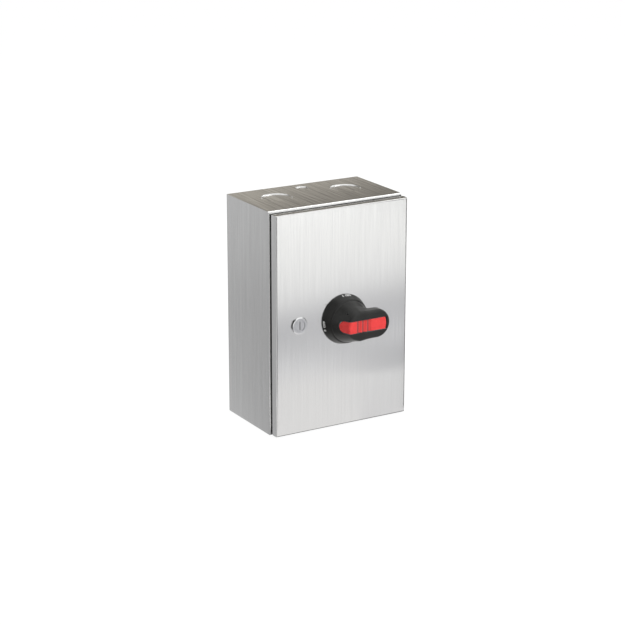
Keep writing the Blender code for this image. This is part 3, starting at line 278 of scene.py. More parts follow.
world = bpy.data.worlds.new("white_surround")
bpy.context.scene.world = world
world.use_nodes = True
tree = world.node_tree
tree.nodes.clear()
strength = ranged(tree, seen_directly(tree), (0.0, 1.0), (SURROUND_LIGHT, 1.0))
surfaced(tree, {"Color": WHITE, "Strength": strength}, "ShaderNodeBackground", "ShaderNodeOutputWorld")

for name, points, along, stops in FLOOR_CARDS:
    card(name, [(x, y, floor_z + CARD_LIFT) for x, y in points], (*along, 0.0), stops)
for name, x, near, far in FLAGS:
    card(name, [(x, near, -FLAG_HALF), (x, far, -FLAG_HALF), (x, far, FLAG_HALF), (x, near, FLAG_HALF)],
         (0.0, 0.0, 1.0), ((-FLAG_HALF, FLAG_TONE), (FLAG_HALF, FLAG_TONE)))
for row in STANDING_CARDS:
    card(*row)
for name, place, target, side, watts, mirrored in LAMPS:
    lamp = bpy.data.lights.new(name, "AREA")
    lamp.shape = "SQUARE"
    lamp.size = side
    lamp.energy = watts
    box = placed(name, lamp)
    aimed(box, place, target)
    box.visible_glossy = mirrored

# Enclosure body
# A box of 1.5 mm stainless sheet, folded and welded at its corners. The front edges turn in and then forwards
# for the seal, and knockouts are half sheared in the top and the bottom, each held by two ties.
SHEET = 0.0015
SHEET_EDGE = 0.0005
SHEET_SMOOTH = radians(34)
SHARP = radians(40)
FLAT = radians(0.5)
MERGE_GAP = 0.000001
CUT_GAP = 0.000002
NOISE_SPAN = (0.3, 0.7)
FRONT_BEND = 0.0018
TOP_FRONT_BEND = 0.0034
TOP_BEND_STEPS = 14
FLANGE_WIDTH = 0.014
LIP_HEIGHT = 0.010
WALL_HOLE_RADIUS = 0.0035
WALL_HOLE_SPACING = (0.160, 0.270)
STUD_RADIUS = 0.003
STUD_PAST_NUT = 0.002
KNOCKOUT_STEP = 0.0011
KNOCKOUT_DRAW = 0.0011
KNOCKOUT_TIE = 0.0014
KNOCKOUT_TIE_TURN = radians(163)
KNOCKOUT_SIDES = 64
# (x, y, radius) of each knockout
KNOCKOUTS = ((-0.052, -0.0485, 0.02025), (0.052, -0.0485, 0.02025), (0.0025, -0.0195, 0.00825))
LEVEL_NORMAL = 0.75


def opened(mesh):
    """A mesh, ready to be edited."""
    work = bmesh.new()
    work.from_mesh(mesh)
    return work


def stored(work):
    """An edited mesh, kept; it gets its name when it is finished."""
    mesh = bpy.data.meshes.new("shape")
    work.to_mesh(mesh)
    work.free()
    return mesh


def baked(piece):
    """The mesh of an object with its modifiers applied; the object itself goes."""
    mesh = bpy.data.meshes.new_from_object(piece.evaluated_get(bpy.context.evaluated_depsgraph_get()))
    bpy.data.objects.remove(piece, do_unlink=True)
    return mesh


def merged(work):
    """Close a built mesh: doubles merged, faces pointing out."""
    bmesh.ops.remove_doubles(work, verts=work.verts, dist=MERGE_GAP)
    bmesh.ops.recalc_face_normals(work, faces=work.faces)
    if work.calc_volume(signed=True) < 0.0:
        bmesh.ops.reverse_faces(work, faces=work.faces)
    return stored(work)


def lofted(rings, closed=False):
    """Walls between rings of equal point counts, capped at both ends unless the rings close on themselves."""
    work = bmesh.new()
    loops = [[work.verts.new(point) for point in ring] for ring in rings]
    following = loops[1:] + loops[:1] if closed else loops[1:]
    for near, far in zip(loops, following):
        for index in range(len(near)):
            after = (index + 1) % len(near)
            work.faces.new((near[index], near[after], far[after], far[index]))
    if not closed:
        work.faces.new(loops[0])
        work.faces.new(loops[-1])
    return merged(work)


def folded_ring(low, high, inset, depth, drop=None):
    """A rectangle drawn in from a box's sides, at a depth; drop is the inset from the top if it differs."""
    top = high.z - (inset if drop is None else drop)
    return [(low.x + inset, depth, low.z + inset), (high.x - inset, depth, low.z + inset),
            (high.x - inset, depth, top), (low.x + inset, depth, top)]


def bend(centre, radius, start, end, steps):
    """Points of an arc in a folded section, from one angle in degrees to another."""
    turns = [radians(start + (end - start) * step / steps) for step in range(steps + 1)]
    return [(centre[0] + radius * cos(turn), centre[1] + radius * sin(turn)) for turn in turns]


def bend_inset(radius, behind_front):
    """How far a bend of that radius has drawn a wall in, at a distance behind the folded front."""
    left = max(0.0, radius - behind_front)
    return radius - sqrt(radius ** 2 - left ** 2)


def brick(low, high, turn=0.0):
    """A box between two corners, turned about the upright axis through its middle."""
    work = bmesh.new()
    middle = (Vector(low) + Vector(high)) / 2
    size = Vector(high) - Vector(low)
    place = Matrix.Translation(middle) @ Matrix.Rotation(turn, 4, "Z") @ Matrix.Diagonal((*size, 1.0))
    bmesh.ops.create_cube(work, size=1.0, matrix=place)
    return merged(work)


def drill(start, end, radius, segments=48, flare=0.0):
    """A round bar between two points, wider at its end by the flare."""
    work = bmesh.new()
    run = Vector(end) - Vector(start)
    turn = run.to_track_quat("Z", "Y").to_matrix().to_4x4()
    middle = Matrix.Translation((Vector(start) + Vector(end)) / 2)
    bmesh.ops.create_cone(work, cap_ends=True, segments=segments, radius1=radius, radius2=radius + flare,
                          depth=run.length, matrix=middle @ turn)
    return merged(work)


def rod(place, start, end, radius):
    """A round bar through a place, square to the door, between two depths."""
    return drill((place.x, start, place.z), (place.x, end, place.z), radius)


def carved(mesh, *cutters, operation="DIFFERENCE"):
    """The mesh with each cutter's shape taken out of it, or joined to it."""
    blank = placed("blank", mesh)
    tools = [placed("cutter", cutter) for cutter in cutters]
    for tool in tools:
        carving = blank.modifiers.new("cut", "BOOLEAN")
        carving.operation = operation
        carving.solver = "EXACT"
        carving.object = tool
    work = opened(baked(blank))
    for tool in tools:
        bpy.data.objects.remove(tool, do_unlink=True)
    bmesh.ops.remove_doubles(work, verts=work.verts, dist=CUT_GAP)
    bmesh.ops.dissolve_degenerate(work, edges=work.edges, dist=MERGE_GAP)
    return stored(work)


def broken_edges(mesh, edge):
    """The mesh with coplanar faces merged and its sharp edges broken by a small radius."""
    work = opened(mesh)
    bmesh.ops.remove_doubles(work, verts=work.verts, dist=CUT_GAP)
    bmesh.ops.dissolve_limit(work, angle_limit=FLAT, verts=work.verts, edges=work.edges)
    edges = [line for line in work.edges if len(line.link_faces) == 2 and line.calc_face_angle() > SHARP]
    if edge:
        bmesh.ops.bevel(work, geom=edges, offset=edge, offset_type="OFFSET", segments=2, profile=0.5,
                        affect="EDGES", clamp_overlap=True)
    return stored(work)


def finished(name, mesh, body, slot, material, *nodes, smooth=SHEET_SMOOTH):
    """Put a finished mesh in the scene, shade it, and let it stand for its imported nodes."""
    mesh.name = name
    mesh.materials.clear()
    mesh.materials.append(material)
    mesh.shade_smooth()
    mesh.set_sharp_from_angle(angle=smooth)
    piece = placed(name, mesh)
    normals = piece.modifiers.new("even_shading", "WEIGHTED_NORMAL")
    normals.keep_sharp = True
    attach(piece, body)
    if nodes:
        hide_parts(*nodes)
    return piece


def middle_of(node):
    """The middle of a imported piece's box."""
    low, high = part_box(node)
    return (low + high) / 2


def blended(tree, kind, share, first, second):
    """Two values run together by a share; the mix node has its own sockets for each kind of value."""
    socket, result = {"FLOAT": (2, 0), "VECTOR": (4, 1), "RGBA": (6, 2)}[kind]
    inputs = {0: share, socket: first, socket + 1: second}
    return add(tree, "ShaderNodeMix", inputs, data_type=kind).outputs[result]


def brushed_stainless(name, bundles, upright_tones, painted_level_tones):
    """Austenitic stainless sheet, belt brushed.

    The grit leaves fine parallel scratches that draw highlights out across the grain. The grain runs up the
    walls and from back to front on level faces. Level faces get their own (dark, pale) tones, which are
    painted
    shade and light: the sheet is coloured apart there only because it lies flat. Real scratches are
    0.05 mm apart, too fine to show, so they are drawn in bundles of the given (width, length).
    """
    material, tree = material_tree(name)
    coordinates = in_object(tree)
    normal = add(tree, "ShaderNodeNewGeometry").outputs["Normal"]
    upwards = maths(tree, "ABSOLUTE", add(tree, "ShaderNodeSeparateXYZ", {0: normal}).outputs["Z"])
    level = maths(tree, "GREATER_THAN", upwards, LEVEL_NORMAL)
    streaks = []
    for width, length in bundles:
        fine, drawn = 1 / width, 1 / length
        upright, lying = [add(tree, "ShaderNodeMapping", {"Vector": coordinates, "Scale": scale}).outputs[0]
                          for scale in ((fine, fine, drawn), (fine, drawn, fine))]
        along = blended(tree, "VECTOR", level, upright, lying)
        streaks.append(add(tree, "ShaderNodeTexNoise", {"Vector": along, "Scale": 1.0, "Detail": 2.0,
                                                        "Roughness": 0.6}).outputs[0])
    mixed = blended(tree, "FLOAT", 0.5, *streaks)
    upright_tone = graded(tree, mixed, (0.25, upright_tones[0]), (0.75, upright_tones[1]))
    # Painted shade and light: level faces take their own tones of the same sheet.
    painted_level_tone = graded(tree, mixed, (0.36, painted_level_tones[0]), (0.64, painted_level_tones[1]))
    grain = blended(tree, "VECTOR", level, (0.0, 0.0, 1.0), (0.0, 1.0, 0.0))
    across = add(tree, "ShaderNodeVectorMath", {0: grain, 1: normal}, operation="CROSS_PRODUCT")
    surfaced(tree, {
        "Base Color": blended(tree, "RGBA", level, upright_tone, painted_level_tone), "Metallic": 1.0,
        "Roughness": ranged(tree, mixed, NOISE_SPAN, (0.23, 0.16)), "Anisotropic": 1.0,
        "Tangent": across.outputs[0]})
    return material


# The top and bottom of the body are painted in their own tones, as painted shade and light.
stainless = brushed_stainless("belt_brushed_stainless", ((0.0008, 0.06), (0.0022, 0.13)),
                              ("#E7E7E6", "#F3F3F2"), ("#C0C0BF", "#FFFFFE"))
body_low, body_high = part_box("enclosure_body")
lip_front = body_low.y
body_front = lip_front + LIP_HEIGHT
top_roll = (TOP_FRONT_BEND, body_front + TOP_FRONT_BEND)
rings = [folded_ring(body_low, body_high, 0.0, 0.0)]
for drop, depth in bend(top_roll, TOP_FRONT_BEND, 180.0, 270.0, TOP_BEND_STEPS):
    rings.append(folded_ring(body_low, body_high, bend_inset(FRONT_BEND, depth - body_front), depth, drop))
section = [(FLANGE_WIDTH, body_front), (FLANGE_WIDTH, lip_front), (FLANGE_WIDTH + SHEET, lip_front),
           (FLANGE_WIDTH + SHEET, body_front + SHEET), (TOP_FRONT_BEND, body_front + SHEET),
           (SHEET, body_front + TOP_FRONT_BEND), (SHEET, -SHEET)]
rings += [folded_ring(body_low, body_high, inset, depth) for inset, depth in section]
shell = lofted(rings)
recesses = []
pressings = []
flare = KNOCKOUT_DRAW * (KNOCKOUT_STEP + SHEET) / KNOCKOUT_STEP
for side, outside in ((1, body_high.z), (-1, body_low.z)):
    for x, y, radius in KNOCKOUTS:
        floor = outside - side * KNOCKOUT_STEP
        disc = drill((x, y, floor), (x, y, outside + side * SHEET), radius - KNOCKOUT_DRAW / 2,
                     KNOCKOUT_SIDES, flare)
        for turn in (KNOCKOUT_TIE_TURN, KNOCKOUT_TIE_TURN + pi):
            rim = Vector((x + radius * cos(turn), y + radius * sin(turn), outside))
            reach = Vector((KNOCKOUT_TIE / 2, KNOCKOUT_TIE / 2, 2 * SHEET))
            disc = carved(disc, brick(rim - reach, rim + reach, turn))
        recesses.append(disc)
        pressings.append(drill((x, y, floor - side * SHEET), (x, y, floor - side * SHEET / 5), radius,
                               KNOCKOUT_SIDES))
for side_x in (-1, 1):
    for side_z in (-1, 1):
        place = Vector((side_x * WALL_HOLE_SPACING[0] / 2, 0.0, side_z * WALL_HOLE_SPACING[1] / 2))
        recesses.append(rod(place, SHEET, -2 * SHEET, WALL_HOLE_RADIUS))
stud_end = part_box("plate_nut_1")[0].y - STUD_PAST_NUT
for number in range(1, 5):
    pressings.append(rod(middle_of(f"plate_nut_{number}"), -SHEET / 2, stud_end, STUD_RADIUS))
shell = carved(carved(shell, *recesses), *pressings, operation="UNION")
finished("enclosure_shell", broken_edges(shell, SHEET_EDGE), "enclosure", "brushed_stainless", stainless,
         "enclosure_body")

# Door
# A tray of the same sheet with rolled edges and welded corners, pierced for the handle, its four screws and
# the latch. It hangs on two pin hinges at the right.
DOOR_EDGE = 0.003
DOOR_TOP_EDGE = 0.0018
DOOR_BURR = 0.0002
DOOR_BEND_STEPS = (12, 8)
LATCH_HOLE = 0.0093
HANDLE_HOLE = 0.012
HANDLE_SCREW_HOLE = 0.0023
LATCH_AXIS = Vector(joints["latch_turn"]["pos_m"])
HANDLE_AXIS = Vector(joints["handle_turn"]["pos_m"])

door_low, door_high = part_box("door")
door_front = door_low.y
roll = (DOOR_EDGE, door_front + DOOR_EDGE)
rings = []
for inset, depth in bend(roll, DOOR_EDGE, 270.0, 180.0, DOOR_BEND_STEPS[0]) + [(0.0, door_high.y)]:
    drop = bend_inset(DOOR_TOP_EDGE, depth - door_front)
    rings.append(folded_ring(door_low, door_high, inset, depth, drop))
for inset, depth in [(SHEET, door_high.y)] + bend(roll, DOOR_EDGE - SHEET, 180.0, 270.0, DOOR_BEND_STEPS[1]):
    drop = SHEET + bend_inset(DOOR_TOP_EDGE - SHEET, depth - door_front - SHEET)
    rings.append(folded_ring(door_low, door_high, inset, depth, drop))
leaf = lofted(rings)
holes = [(LATCH_AXIS, LATCH_HOLE), (HANDLE_AXIS, HANDLE_HOLE)]
holes += [(middle_of(f"handle_screw_{number}"), HANDLE_SCREW_HOLE) for number in range(1, 5)]
leaf = carved(leaf, *[rod(place, door_front - SHEET, door_front + 2 * SHEET, radius)
                      for place, radius in holes])
# The door's level faces are painted much darker than its front, as painted shade.
fine_stainless = brushed_stainless("fine_brushed_stainless", ((0.0007, 0.05), (0.0018, 0.10)),
                                   ("#F1F1F0", "#F6F6F5"), ("#A8A7A4", "#C8C7C4"))
finished("door_leaf", broken_edges(leaf, DOOR_BURR), "door", "brushed_stainless", fine_stainless, "door")

# Door seal
# A bead of foamed polyurethane, poured on the back of the door where the lip of the body presses, and a flat
# ring of the same foam under the handle.
SEAL_PORE = 0.0009
SEAL_EDGE = 0.0001
BEAD_SMOOTH = radians(50)


def cad_copy(node, edge):
    """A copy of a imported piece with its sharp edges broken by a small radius."""
    return broken_edges(frame["nodes"][node].data, edge)


def noise(tree, size, detail=2.0):
    """A cloudy pattern in the object's own coordinates, with patches of that size in metres."""
    return add(tree, "ShaderNodeTexNoise", {"Vector": in_object(tree), "Scale": 1 / size,
                                            "Detail": detail}).outputs[0]


def bumped(tree, height, strength, distance=0.0002):
    """A surface normal shaken by a height pattern."""
    inputs = {"Height": height, "Strength": strength, "Distance": distance}
    return add(tree, "ShaderNodeBump", inputs).outputs[0]


# Open-pored foam with a matt skin.
seal_rubber, tree = material_tree("foamed_seal_rubber")
pores = noise(tree, SEAL_PORE)
surfaced(tree, {
    "Base Color": graded(tree, pores, (0.3, "#1C1C1C"), (0.7, "#2B2B2B")), "Roughness": 0.78,
    "Normal": bumped(tree, pores, 0.35, 0.0004)})
finished("door_seal", cad_copy("door_gasket", 0.0), "door", "seal_rubber", seal_rubber, "door_gasket",
         smooth=BEAD_SMOOTH)
finished("handle_seal", cad_copy("handle_gasket", SEAL_EDGE), "door", "seal_rubber", seal_rubber,
         "handle_gasket")

# Hinges
# Concealed pin hinges of pressed steel, zinc plated: a bracket spot welded to the lip, a leaf behind the
# door, and a headed pin through their knuckles.
STEEL_EDGE = 0.00025
ZINC_PATCH = 0.006
ZINC_SPECK = 0.0009


def zinc_plated(name, pale, dark):
    """Bright zinc on steel: a cool grey with faint cloudy patches where the plating took unevenly."""
    material, tree = material_tree(name)
    mixed = blended(tree, "FLOAT", 0.35, noise(tree, ZINC_PATCH, 3.0), noise(tree, ZINC_SPECK))
    surfaced(tree, {
        "Base Color": graded(tree, mixed, (0.32, dark), (0.68, pale)), "Metallic": 1.0,
        "Roughness": ranged(tree, mixed, NOISE_SPAN, (0.30, 0.44))})
    return material


zinc = zinc_plated("bright_zinc_plate", "#D2D4D6", "#B0B3B6")


def dressed(node, ending, edge, body, slot, material):
    """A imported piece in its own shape, with broken edges and a finish."""
    return finished(f"{node}_{ending}", cad_copy(node, edge), body, slot, material, node)


def plated(node, body, edge=STEEL_EDGE, finish=zinc):
    """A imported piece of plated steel."""
    return dressed(node, "steel", edge, body, "zinc_plated", finish)


for position in ("upper", "lower"):
    for kind, body in (("bracket", "enclosure"), ("leaf", "door"), ("pin", "enclosure")):
        plated(f"hinge_{kind}_{position}", body)

# Latch
# A quarter-turn coin latch: a chromed die-cast housing with a rounded bezel, and a slotted insert that turns
# in it and carries the cam. A hexagonal nut clamps the threaded barrel behind the door.
BEZEL_TILT = radians(50)
BEZEL_ROUND = 0.0017
BEZEL_STEPS = 12
BEZEL_BACK = 0.0003
BORE_EDGE = 0.0001
BORE_GAP = 0.0002
BARREL_RADIUS = 0.009
INSERT_EDGE = 0.0003
SLOT_HALF = 0.0005
SLOT_REACH = 0.0056
SLOT_CHEEK = 0.0024
SLOT_SHADE_DEPTH = 0.0006
CHROME_MARK = 0.0006
LATCH_SIDES = 96


def turned(outline, axis, sides):
    """A turned ring: (radius, height in front of the door) points round its section."""
    rings = []
    for step in range(sides):
        angle = 2 * pi * step / sides
        across, up = cos(angle), sin(angle)
        rings.append([(axis.x + radius * across, door_front - height, axis.z + radius * up)
                      for radius, height in outline])
    return lofted(rings, closed=True)


def chrome_plated(name, front=None):
    """Satin chrome on die-cast zinc: a tight bright reflection with fine polishing marks.

    Behind a given front the colour is painted darker with depth, as painted shade in the bottom of a coin
    slot.
    """
    material, tree = material_tree(name)
    marks = noise(tree, CHROME_MARK, 3.0)
    tone = graded(tree, marks, (0.0, "#E4E5E6"), (1.0, "#F8F8F8"))
    if front is not None:
        # Painted shade: the chrome darkens with depth behind the front.
        depth = add(tree, "ShaderNodeSeparateXYZ", {0: in_object(tree)}).outputs["Y"]
        slot_shade = ranged(tree, depth, (front, front + SLOT_SHADE_DEPTH), (0.0, 1.0))
        tone = blended(tree, "RGBA", slot_shade, tone, linear("#C0C0C0"))
    surfaced(tree, {
        "Base Color": tone, "Metallic": 1.0, "Roughness": ranged(tree, marks, (0.0, 1.0), (0.04, 0.10))})
    return material


chrome = chrome_plated("satin_chrome")
housing_low, housing_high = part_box("latch_housing")
insert_low, insert_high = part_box("latch_insert")
bezel_front = door_front - housing_low.y
barrel_end = door_front - housing_high.y
bezel_radius = (housing_high.x - housing_low.x) / 2
bore_radius = (insert_high.x - insert_low.x) / 2 + BORE_GAP
rim_bow = BEZEL_ROUND / sin(BEZEL_TILT)
housing = []
for step in range(BEZEL_STEPS + 1):
    tilt = BEZEL_TILT * (1 - step / BEZEL_STEPS)
    housing.append((bezel_radius - BEZEL_ROUND + rim_bow * sin(tilt),
                    bezel_front - rim_bow * (1 - cos(tilt))))
housing += [(bore_radius + BORE_EDGE, bezel_front), (bore_radius, bezel_front - BORE_EDGE),
            (bore_radius, barrel_end), (BARREL_RADIUS, barrel_end), (BARREL_RADIUS, BEZEL_BACK),
            (bezel_radius, BEZEL_BACK)]
finished("latch_bezel", turned(housing, LATCH_AXIS, LATCH_SIDES), "door", "chromed", chrome, "latch_housing")

slot_front = insert_low.y + INSERT_EDGE
slot_back = insert_low.y + SLOT_CHEEK
slot_cheeks = [brick((LATCH_AXIS.x + side * SLOT_HALF, slot_front, LATCH_AXIS.z - SLOT_REACH),
                     (LATCH_AXIS.x + side * SLOT_REACH / 4, slot_back, LATCH_AXIS.z + SLOT_REACH))
               for side in (-1, 1)]
slotted = carved(cad_copy("latch_insert", INSERT_EDGE), *slot_cheeks, operation="UNION")
# The insert's slot is painted darker with depth, as painted shade.
finished("latch_insert_chrome", slotted, "latch", "chromed",
         chrome_plated("satin_chrome_with_shaded_slot", slot_front), "latch_insert")
plated("latch_cam", "latch")
plated("latch_screw", "latch")
plated("latch_nut", "door")

# Handle base
# The fixed cone under the grip, moulded in black glass-filled polyamide and clamped to the door by four
# screws through a steel plate behind it.
NECK_BORE = 0.0219
COUNTERBORE = 0.0252
COUNTERBORE_TOP = 0.0045
BASE_RIM = 0.0012
BASE_RIM_EDGE = 0.0006
BASE_FOOT_EDGE = 0.0003
BASE_TOP_RADIUS = 0.0288
BASE_TOP_EDGE = 0.0028
BASE_SIDES = 160
EASED_STEPS = 8
HANDLE_SCREW_EDGE = 0.00015
BLACK_GRAIN = 0.0007
BLACK_FLOW = 0.012


def eased(points, radii):
    """A closed outline whose corners are drawn as small curves; a radius of 0 keeps a corner sharp."""
    outline = []
    for index, (corner, radius) in enumerate(zip(points, radii)):
        here = Vector(corner)
        before = Vector(points[index - 1])
        after = Vector(points[(index + 1) % len(points)])
        start = here + (before - here).normalized() * radius
        end = here + (after - here).normalized() * radius
        for step in range(EASED_STEPS + 1 if radius else 1):
            share = step / EASED_STEPS
            outline.append(start * (1 - share) ** 2 + here * 2 * share * (1 - share) + end * share ** 2)
    return outline


# Glass-filled polyamide from a spark-eroded mould: near black, matt, with a fine even grain.
black, tree = material_tree("moulded_black_polyamide")
grit = noise(tree, BLACK_GRAIN)
surfaced(tree, {
    "Base Color": graded(tree, noise(tree, BLACK_FLOW), (0.3, "#232322"), (0.7, "#292928")),
    "Roughness": ranged(tree, grit, NOISE_SPAN, (0.27, 0.35)), "Normal": bumped(tree, grit, 0.12),
    "Specular IOR Level": 0.28})
base_low, base_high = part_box("handle_base")
base_radius = (base_high.x - base_low.x) / 2
base_front = door_front - base_low.y
base_back = door_front - base_high.y
cone_back = base_back + BASE_RIM
section = eased([(BASE_TOP_RADIUS, base_front), (base_radius, cone_back), (base_radius, base_back),
                 (COUNTERBORE, base_back), (COUNTERBORE, COUNTERBORE_TOP), (NECK_BORE, COUNTERBORE_TOP),
                 (NECK_BORE, base_front)],
                [BASE_TOP_EDGE, BASE_RIM_EDGE, BASE_FOOT_EDGE, 0.0, 0.0, 0.0, BASE_FOOT_EDGE])
cone = turned(section, HANDLE_AXIS, BASE_SIDES)
base = finished("handle_base_moulding", cone, "door", "black_plastic", black, "handle_base")
finished("handle_plate_steel", cad_copy("handle_back_plate", STEEL_EDGE), "door", "zinc_plated", zinc,
         "handle_back_plate")
for number in range(1, 5):
    plated(f"handle_screw_{number}", "door", HANDLE_SCREW_EDGE)

# Position marks
# I ON at the top and 0 OFF at the left, pad printed in light grey ink. Each is a thin film of letters, bent
# round the cone of the base.
MARKS = (("I  ON", 88.0), ("0  OFF", 188.0))
MARK_HEIGHT = 0.0036
MARK_RADIUS = 0.0325
MARK_FILM = 0.00006
MARK_BOLD = 0.0001
CAPITAL_SHARE = 0.72
INK_FLECK = 0.0005

# Ink that lies a little thin over the grain of the moulding.
grey_ink, tree = material_tree("pad_printed_grey_ink")
surfaced(tree, {
    "Base Color": graded(tree, noise(tree, INK_FLECK), (0.3, "#DCDCDC"), (0.6, "#F8F8F8")), "Roughness": 0.5})
cone_run = Vector((BASE_TOP_RADIUS - base_radius, base_front - cone_back)).normalized()
cone_out = Vector((cone_run.y, -cone_run.x))
mark_share = (base_radius - MARK_RADIUS) / (base_radius - BASE_TOP_RADIUS)
mark_front = cone_back + mark_share * (base_front - cone_back)
for number, (words, place) in enumerate(MARKS, 1):
    text = bpy.data.curves.new("mark", "FONT")
    text.body = words
    text.size = MARK_HEIGHT / CAPITAL_SHARE
    text.align_x = "CENTER"
    text.align_y = "CENTER"
    text.extrude = MARK_FILM
    text.offset = MARK_BOLD
    text.resolution_u = 4
    mesh = baked(placed("mark", text))
    for point in mesh.vertices:
        run, rise, lift = point.co
        radius = MARK_RADIUS - rise * cone_run.x + (lift + MARK_FILM) * cone_out.x
        front = mark_front - rise * cone_run.y + (lift + MARK_FILM) * cone_out.y
        angle = radians(place) - run / MARK_RADIUS
        point.co = (HANDLE_AXIS.x + radius * cos(angle), door_front - front,
                    HANDLE_AXIS.z + radius * sin(angle))
    finished(f"position_mark_{number}", merged(opened(mesh)), "door", "grey_plastic", grey_ink)

# Handle grip
# The turning grip, one black moulding: a conical hub that runs into an overhanging lever, with a pocket for
# the padlock bar and a small hole for the interlock release screw.
GRIP_POINTS = 168
GRIP_CROWDING = 0.35
EDGE_STEPS = 4
LEVER_EDGE_STEPS = 12
LEVER_BLEND = 11
NECK_RADIUS = 0.0216
HUB_RADIUS = 0.028
HUB_TOP_RADIUS = 0.018
HUB_EDGE = 0.0009
HUB_GAP = 0.0003
GRIP_EDGE = 0.0024
LEVER_EDGE = 0.0042
LEVER_HALF_WIDTH = 0.019
LEVER_THICKNESS = 0.0135
LEVER_LOWER_EDGE = 0.0014
POCKET_GAP = 0.0007
POCKET_PRESS = 0.010
POCKET_PRESS_ANGLE = radians(37)
POCKET_STEPS = 24
BAR_WIDTH = 0.0156
BAR_FOLD = 0.017
BAR_SLOPE_LENGTH = 0.017
BAR_DEPTH = 0.010
BAR_PIVOT = 0.014
RELEASE_HEIGHT = 0.0322
RELEASE_ANGLE = radians(130)
RELEASE_HOLE = 0.0016
RELEASE_DEPTH = 0.008
RELEASE_EDGE = 0.0001
RELEASE_SIDES = 32

grip_low, grip_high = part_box("handle_grip")
grip_front = door_front - grip_low.y
grip_back = door_front - grip_high.y
lever_length = grip_high.x - HANDLE_AXIS.x
bar_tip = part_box("padlock_bar")[1].x - HANDLE_AXIS.x
half_pocket = BAR_WIDTH / 2 + POCKET_GAP
hub_back = base_front + HUB_GAP
slope = atan2(grip_front - hub_back, HUB_RADIUS - HUB_TOP_RADIUS)


def on_handle(along, over, height):
    """A point of the handle: along the lever, across it, and in front of the door."""
    return Vector((HANDLE_AXIS.x + along, door_front - height, HANDLE_AXIS.z + over))


def quarter(steps):
    """How far a rounded edge draws in along both of its sides, (1 - cosine, 1 - sine) of a quarter turn."""
    turns = [pi / 2 * step / steps for step in range(steps + 1)]
    return [(1 - cos(turn), 1 - sin(turn)) for turn in turns]


def hub_radius(height):
    """Radius of the hub's cone at a height in front of the door."""
    return HUB_RADIUS + (HUB_TOP_RADIUS - HUB_RADIUS) * (height - hub_back) / (grip_front - hub_back)


def lever_reach(angle, inset):
    """Distance from the axis to the lever's outline, two straight sides and a round tip."""
    half_width = LEVER_HALF_WIDTH - inset
    tip_centre = lever_length - LEVER_HALF_WIDTH
    along, over = cos(angle), abs(sin(angle))
    if along <= 0.0:
        return half_width * (1.0 + along)
    if half_width * along <= tip_centre * over:
        return half_width / over
    return tip_centre * along + sqrt(half_width ** 2 - (tip_centre * over) ** 2)


def grip_ring(height, radius, lever_inset=None):
    """One level of the grip: a circle, or hub and lever run together by a soft maximum."""
    ring = []
    for index in range(GRIP_POINTS):
        even = 2 * pi * index / GRIP_POINTS
        angle = even - GRIP_CROWDING * sin(even)
        reach = radius
        if lever_inset is not None:
            lever = lever_reach(angle, lever_inset)
            larger, smaller = max(radius, lever), min(radius, lever)
            reach = larger * (1.0 + (smaller / larger) ** LEVER_BLEND) ** (1.0 / LEVER_BLEND)
        ring.append(on_handle(reach * cos(angle), reach * sin(angle), height))
    return ring


def slope_outline(press):
    """Outline of the pocket for the bar's bent end on the hub, moved along the pocket's direction."""
    straight = BAR_SLOPE_LENGTH - BAR_WIDTH / 2
    turns = [pi * (step / POCKET_STEPS - 0.5) for step in range(POCKET_STEPS + 1)]
    outline = [(-BAR_SLOPE_LENGTH / 2, -half_pocket)]
    outline += [(straight + half_pocket * cos(turn), half_pocket * sin(turn)) for turn in turns]
    outline.append((-BAR_SLOPE_LENGTH / 2, half_pocket))
    return [on_handle(-BAR_FOLD - down * cos(slope) + press * cos(POCKET_PRESS_ANGLE), over,
                      grip_front - down * sin(slope) - press * sin(POCKET_PRESS_ANGLE))
            for down, over in outline]


def release_point(outwards):
    """A point on the release hole's axis, square to the hub's slope."""
    reach = hub_radius(RELEASE_HEIGHT) + outwards * sin(slope)
    return on_handle(reach * cos(RELEASE_ANGLE), reach * sin(RELEASE_ANGLE),
                     RELEASE_HEIGHT + outwards * cos(slope))


lever_back = grip_front - LEVER_THICKNESS
levels = [(grip_back, NECK_RADIUS), (hub_back, NECK_RADIUS)]
for rise, inset in quarter(EDGE_STEPS):
    height = hub_back + HUB_EDGE * rise
    levels.append((height, hub_radius(height) - HUB_EDGE * inset))
for share in (0.35, 0.7, 1.0):
    height = hub_back + HUB_EDGE + share * (lever_back - LEVER_LOWER_EDGE - hub_back - HUB_EDGE)
    levels.append((height, hub_radius(height)))
for rise, inset in quarter(EDGE_STEPS):
    height = lever_back + LEVER_LOWER_EDGE * rise
    levels.append((height, hub_radius(height), LEVER_LOWER_EDGE * inset))
for inset, fall in quarter(LEVER_EDGE_STEPS):
    drop = LEVER_EDGE * fall
    hub = hub_radius(grip_front - drop) - bend_inset(GRIP_EDGE, drop)
    levels.append((grip_front - drop, hub, LEVER_EDGE * inset))
grip_blank = lofted([grip_ring(*level) for level in levels])
pocket_floor = grip_front - BAR_DEPTH - 2 * POCKET_GAP
pocket = brick(on_handle(-BAR_PIVOT, -half_pocket, 2 * grip_front),
               on_handle(bar_tip + 2 * POCKET_GAP, half_pocket, pocket_floor))
press = lofted([slope_outline(-POCKET_PRESS), slope_outline(POCKET_PRESS)])
release = drill(release_point(-RELEASE_DEPTH), release_point(RELEASE_DEPTH), RELEASE_HOLE, RELEASE_SIDES)
grip = finished("grip_moulding", carved(grip_blank, pocket, press, release), "handle", "black_plastic", black,
                "handle_grip")
plated("shaft_coupler", "handle")
release_screw = plated("release_screw", "release_screw", RELEASE_EDGE,
                       zinc_plated("black_passivated_zinc", "#0E0E0F", "#060607"))

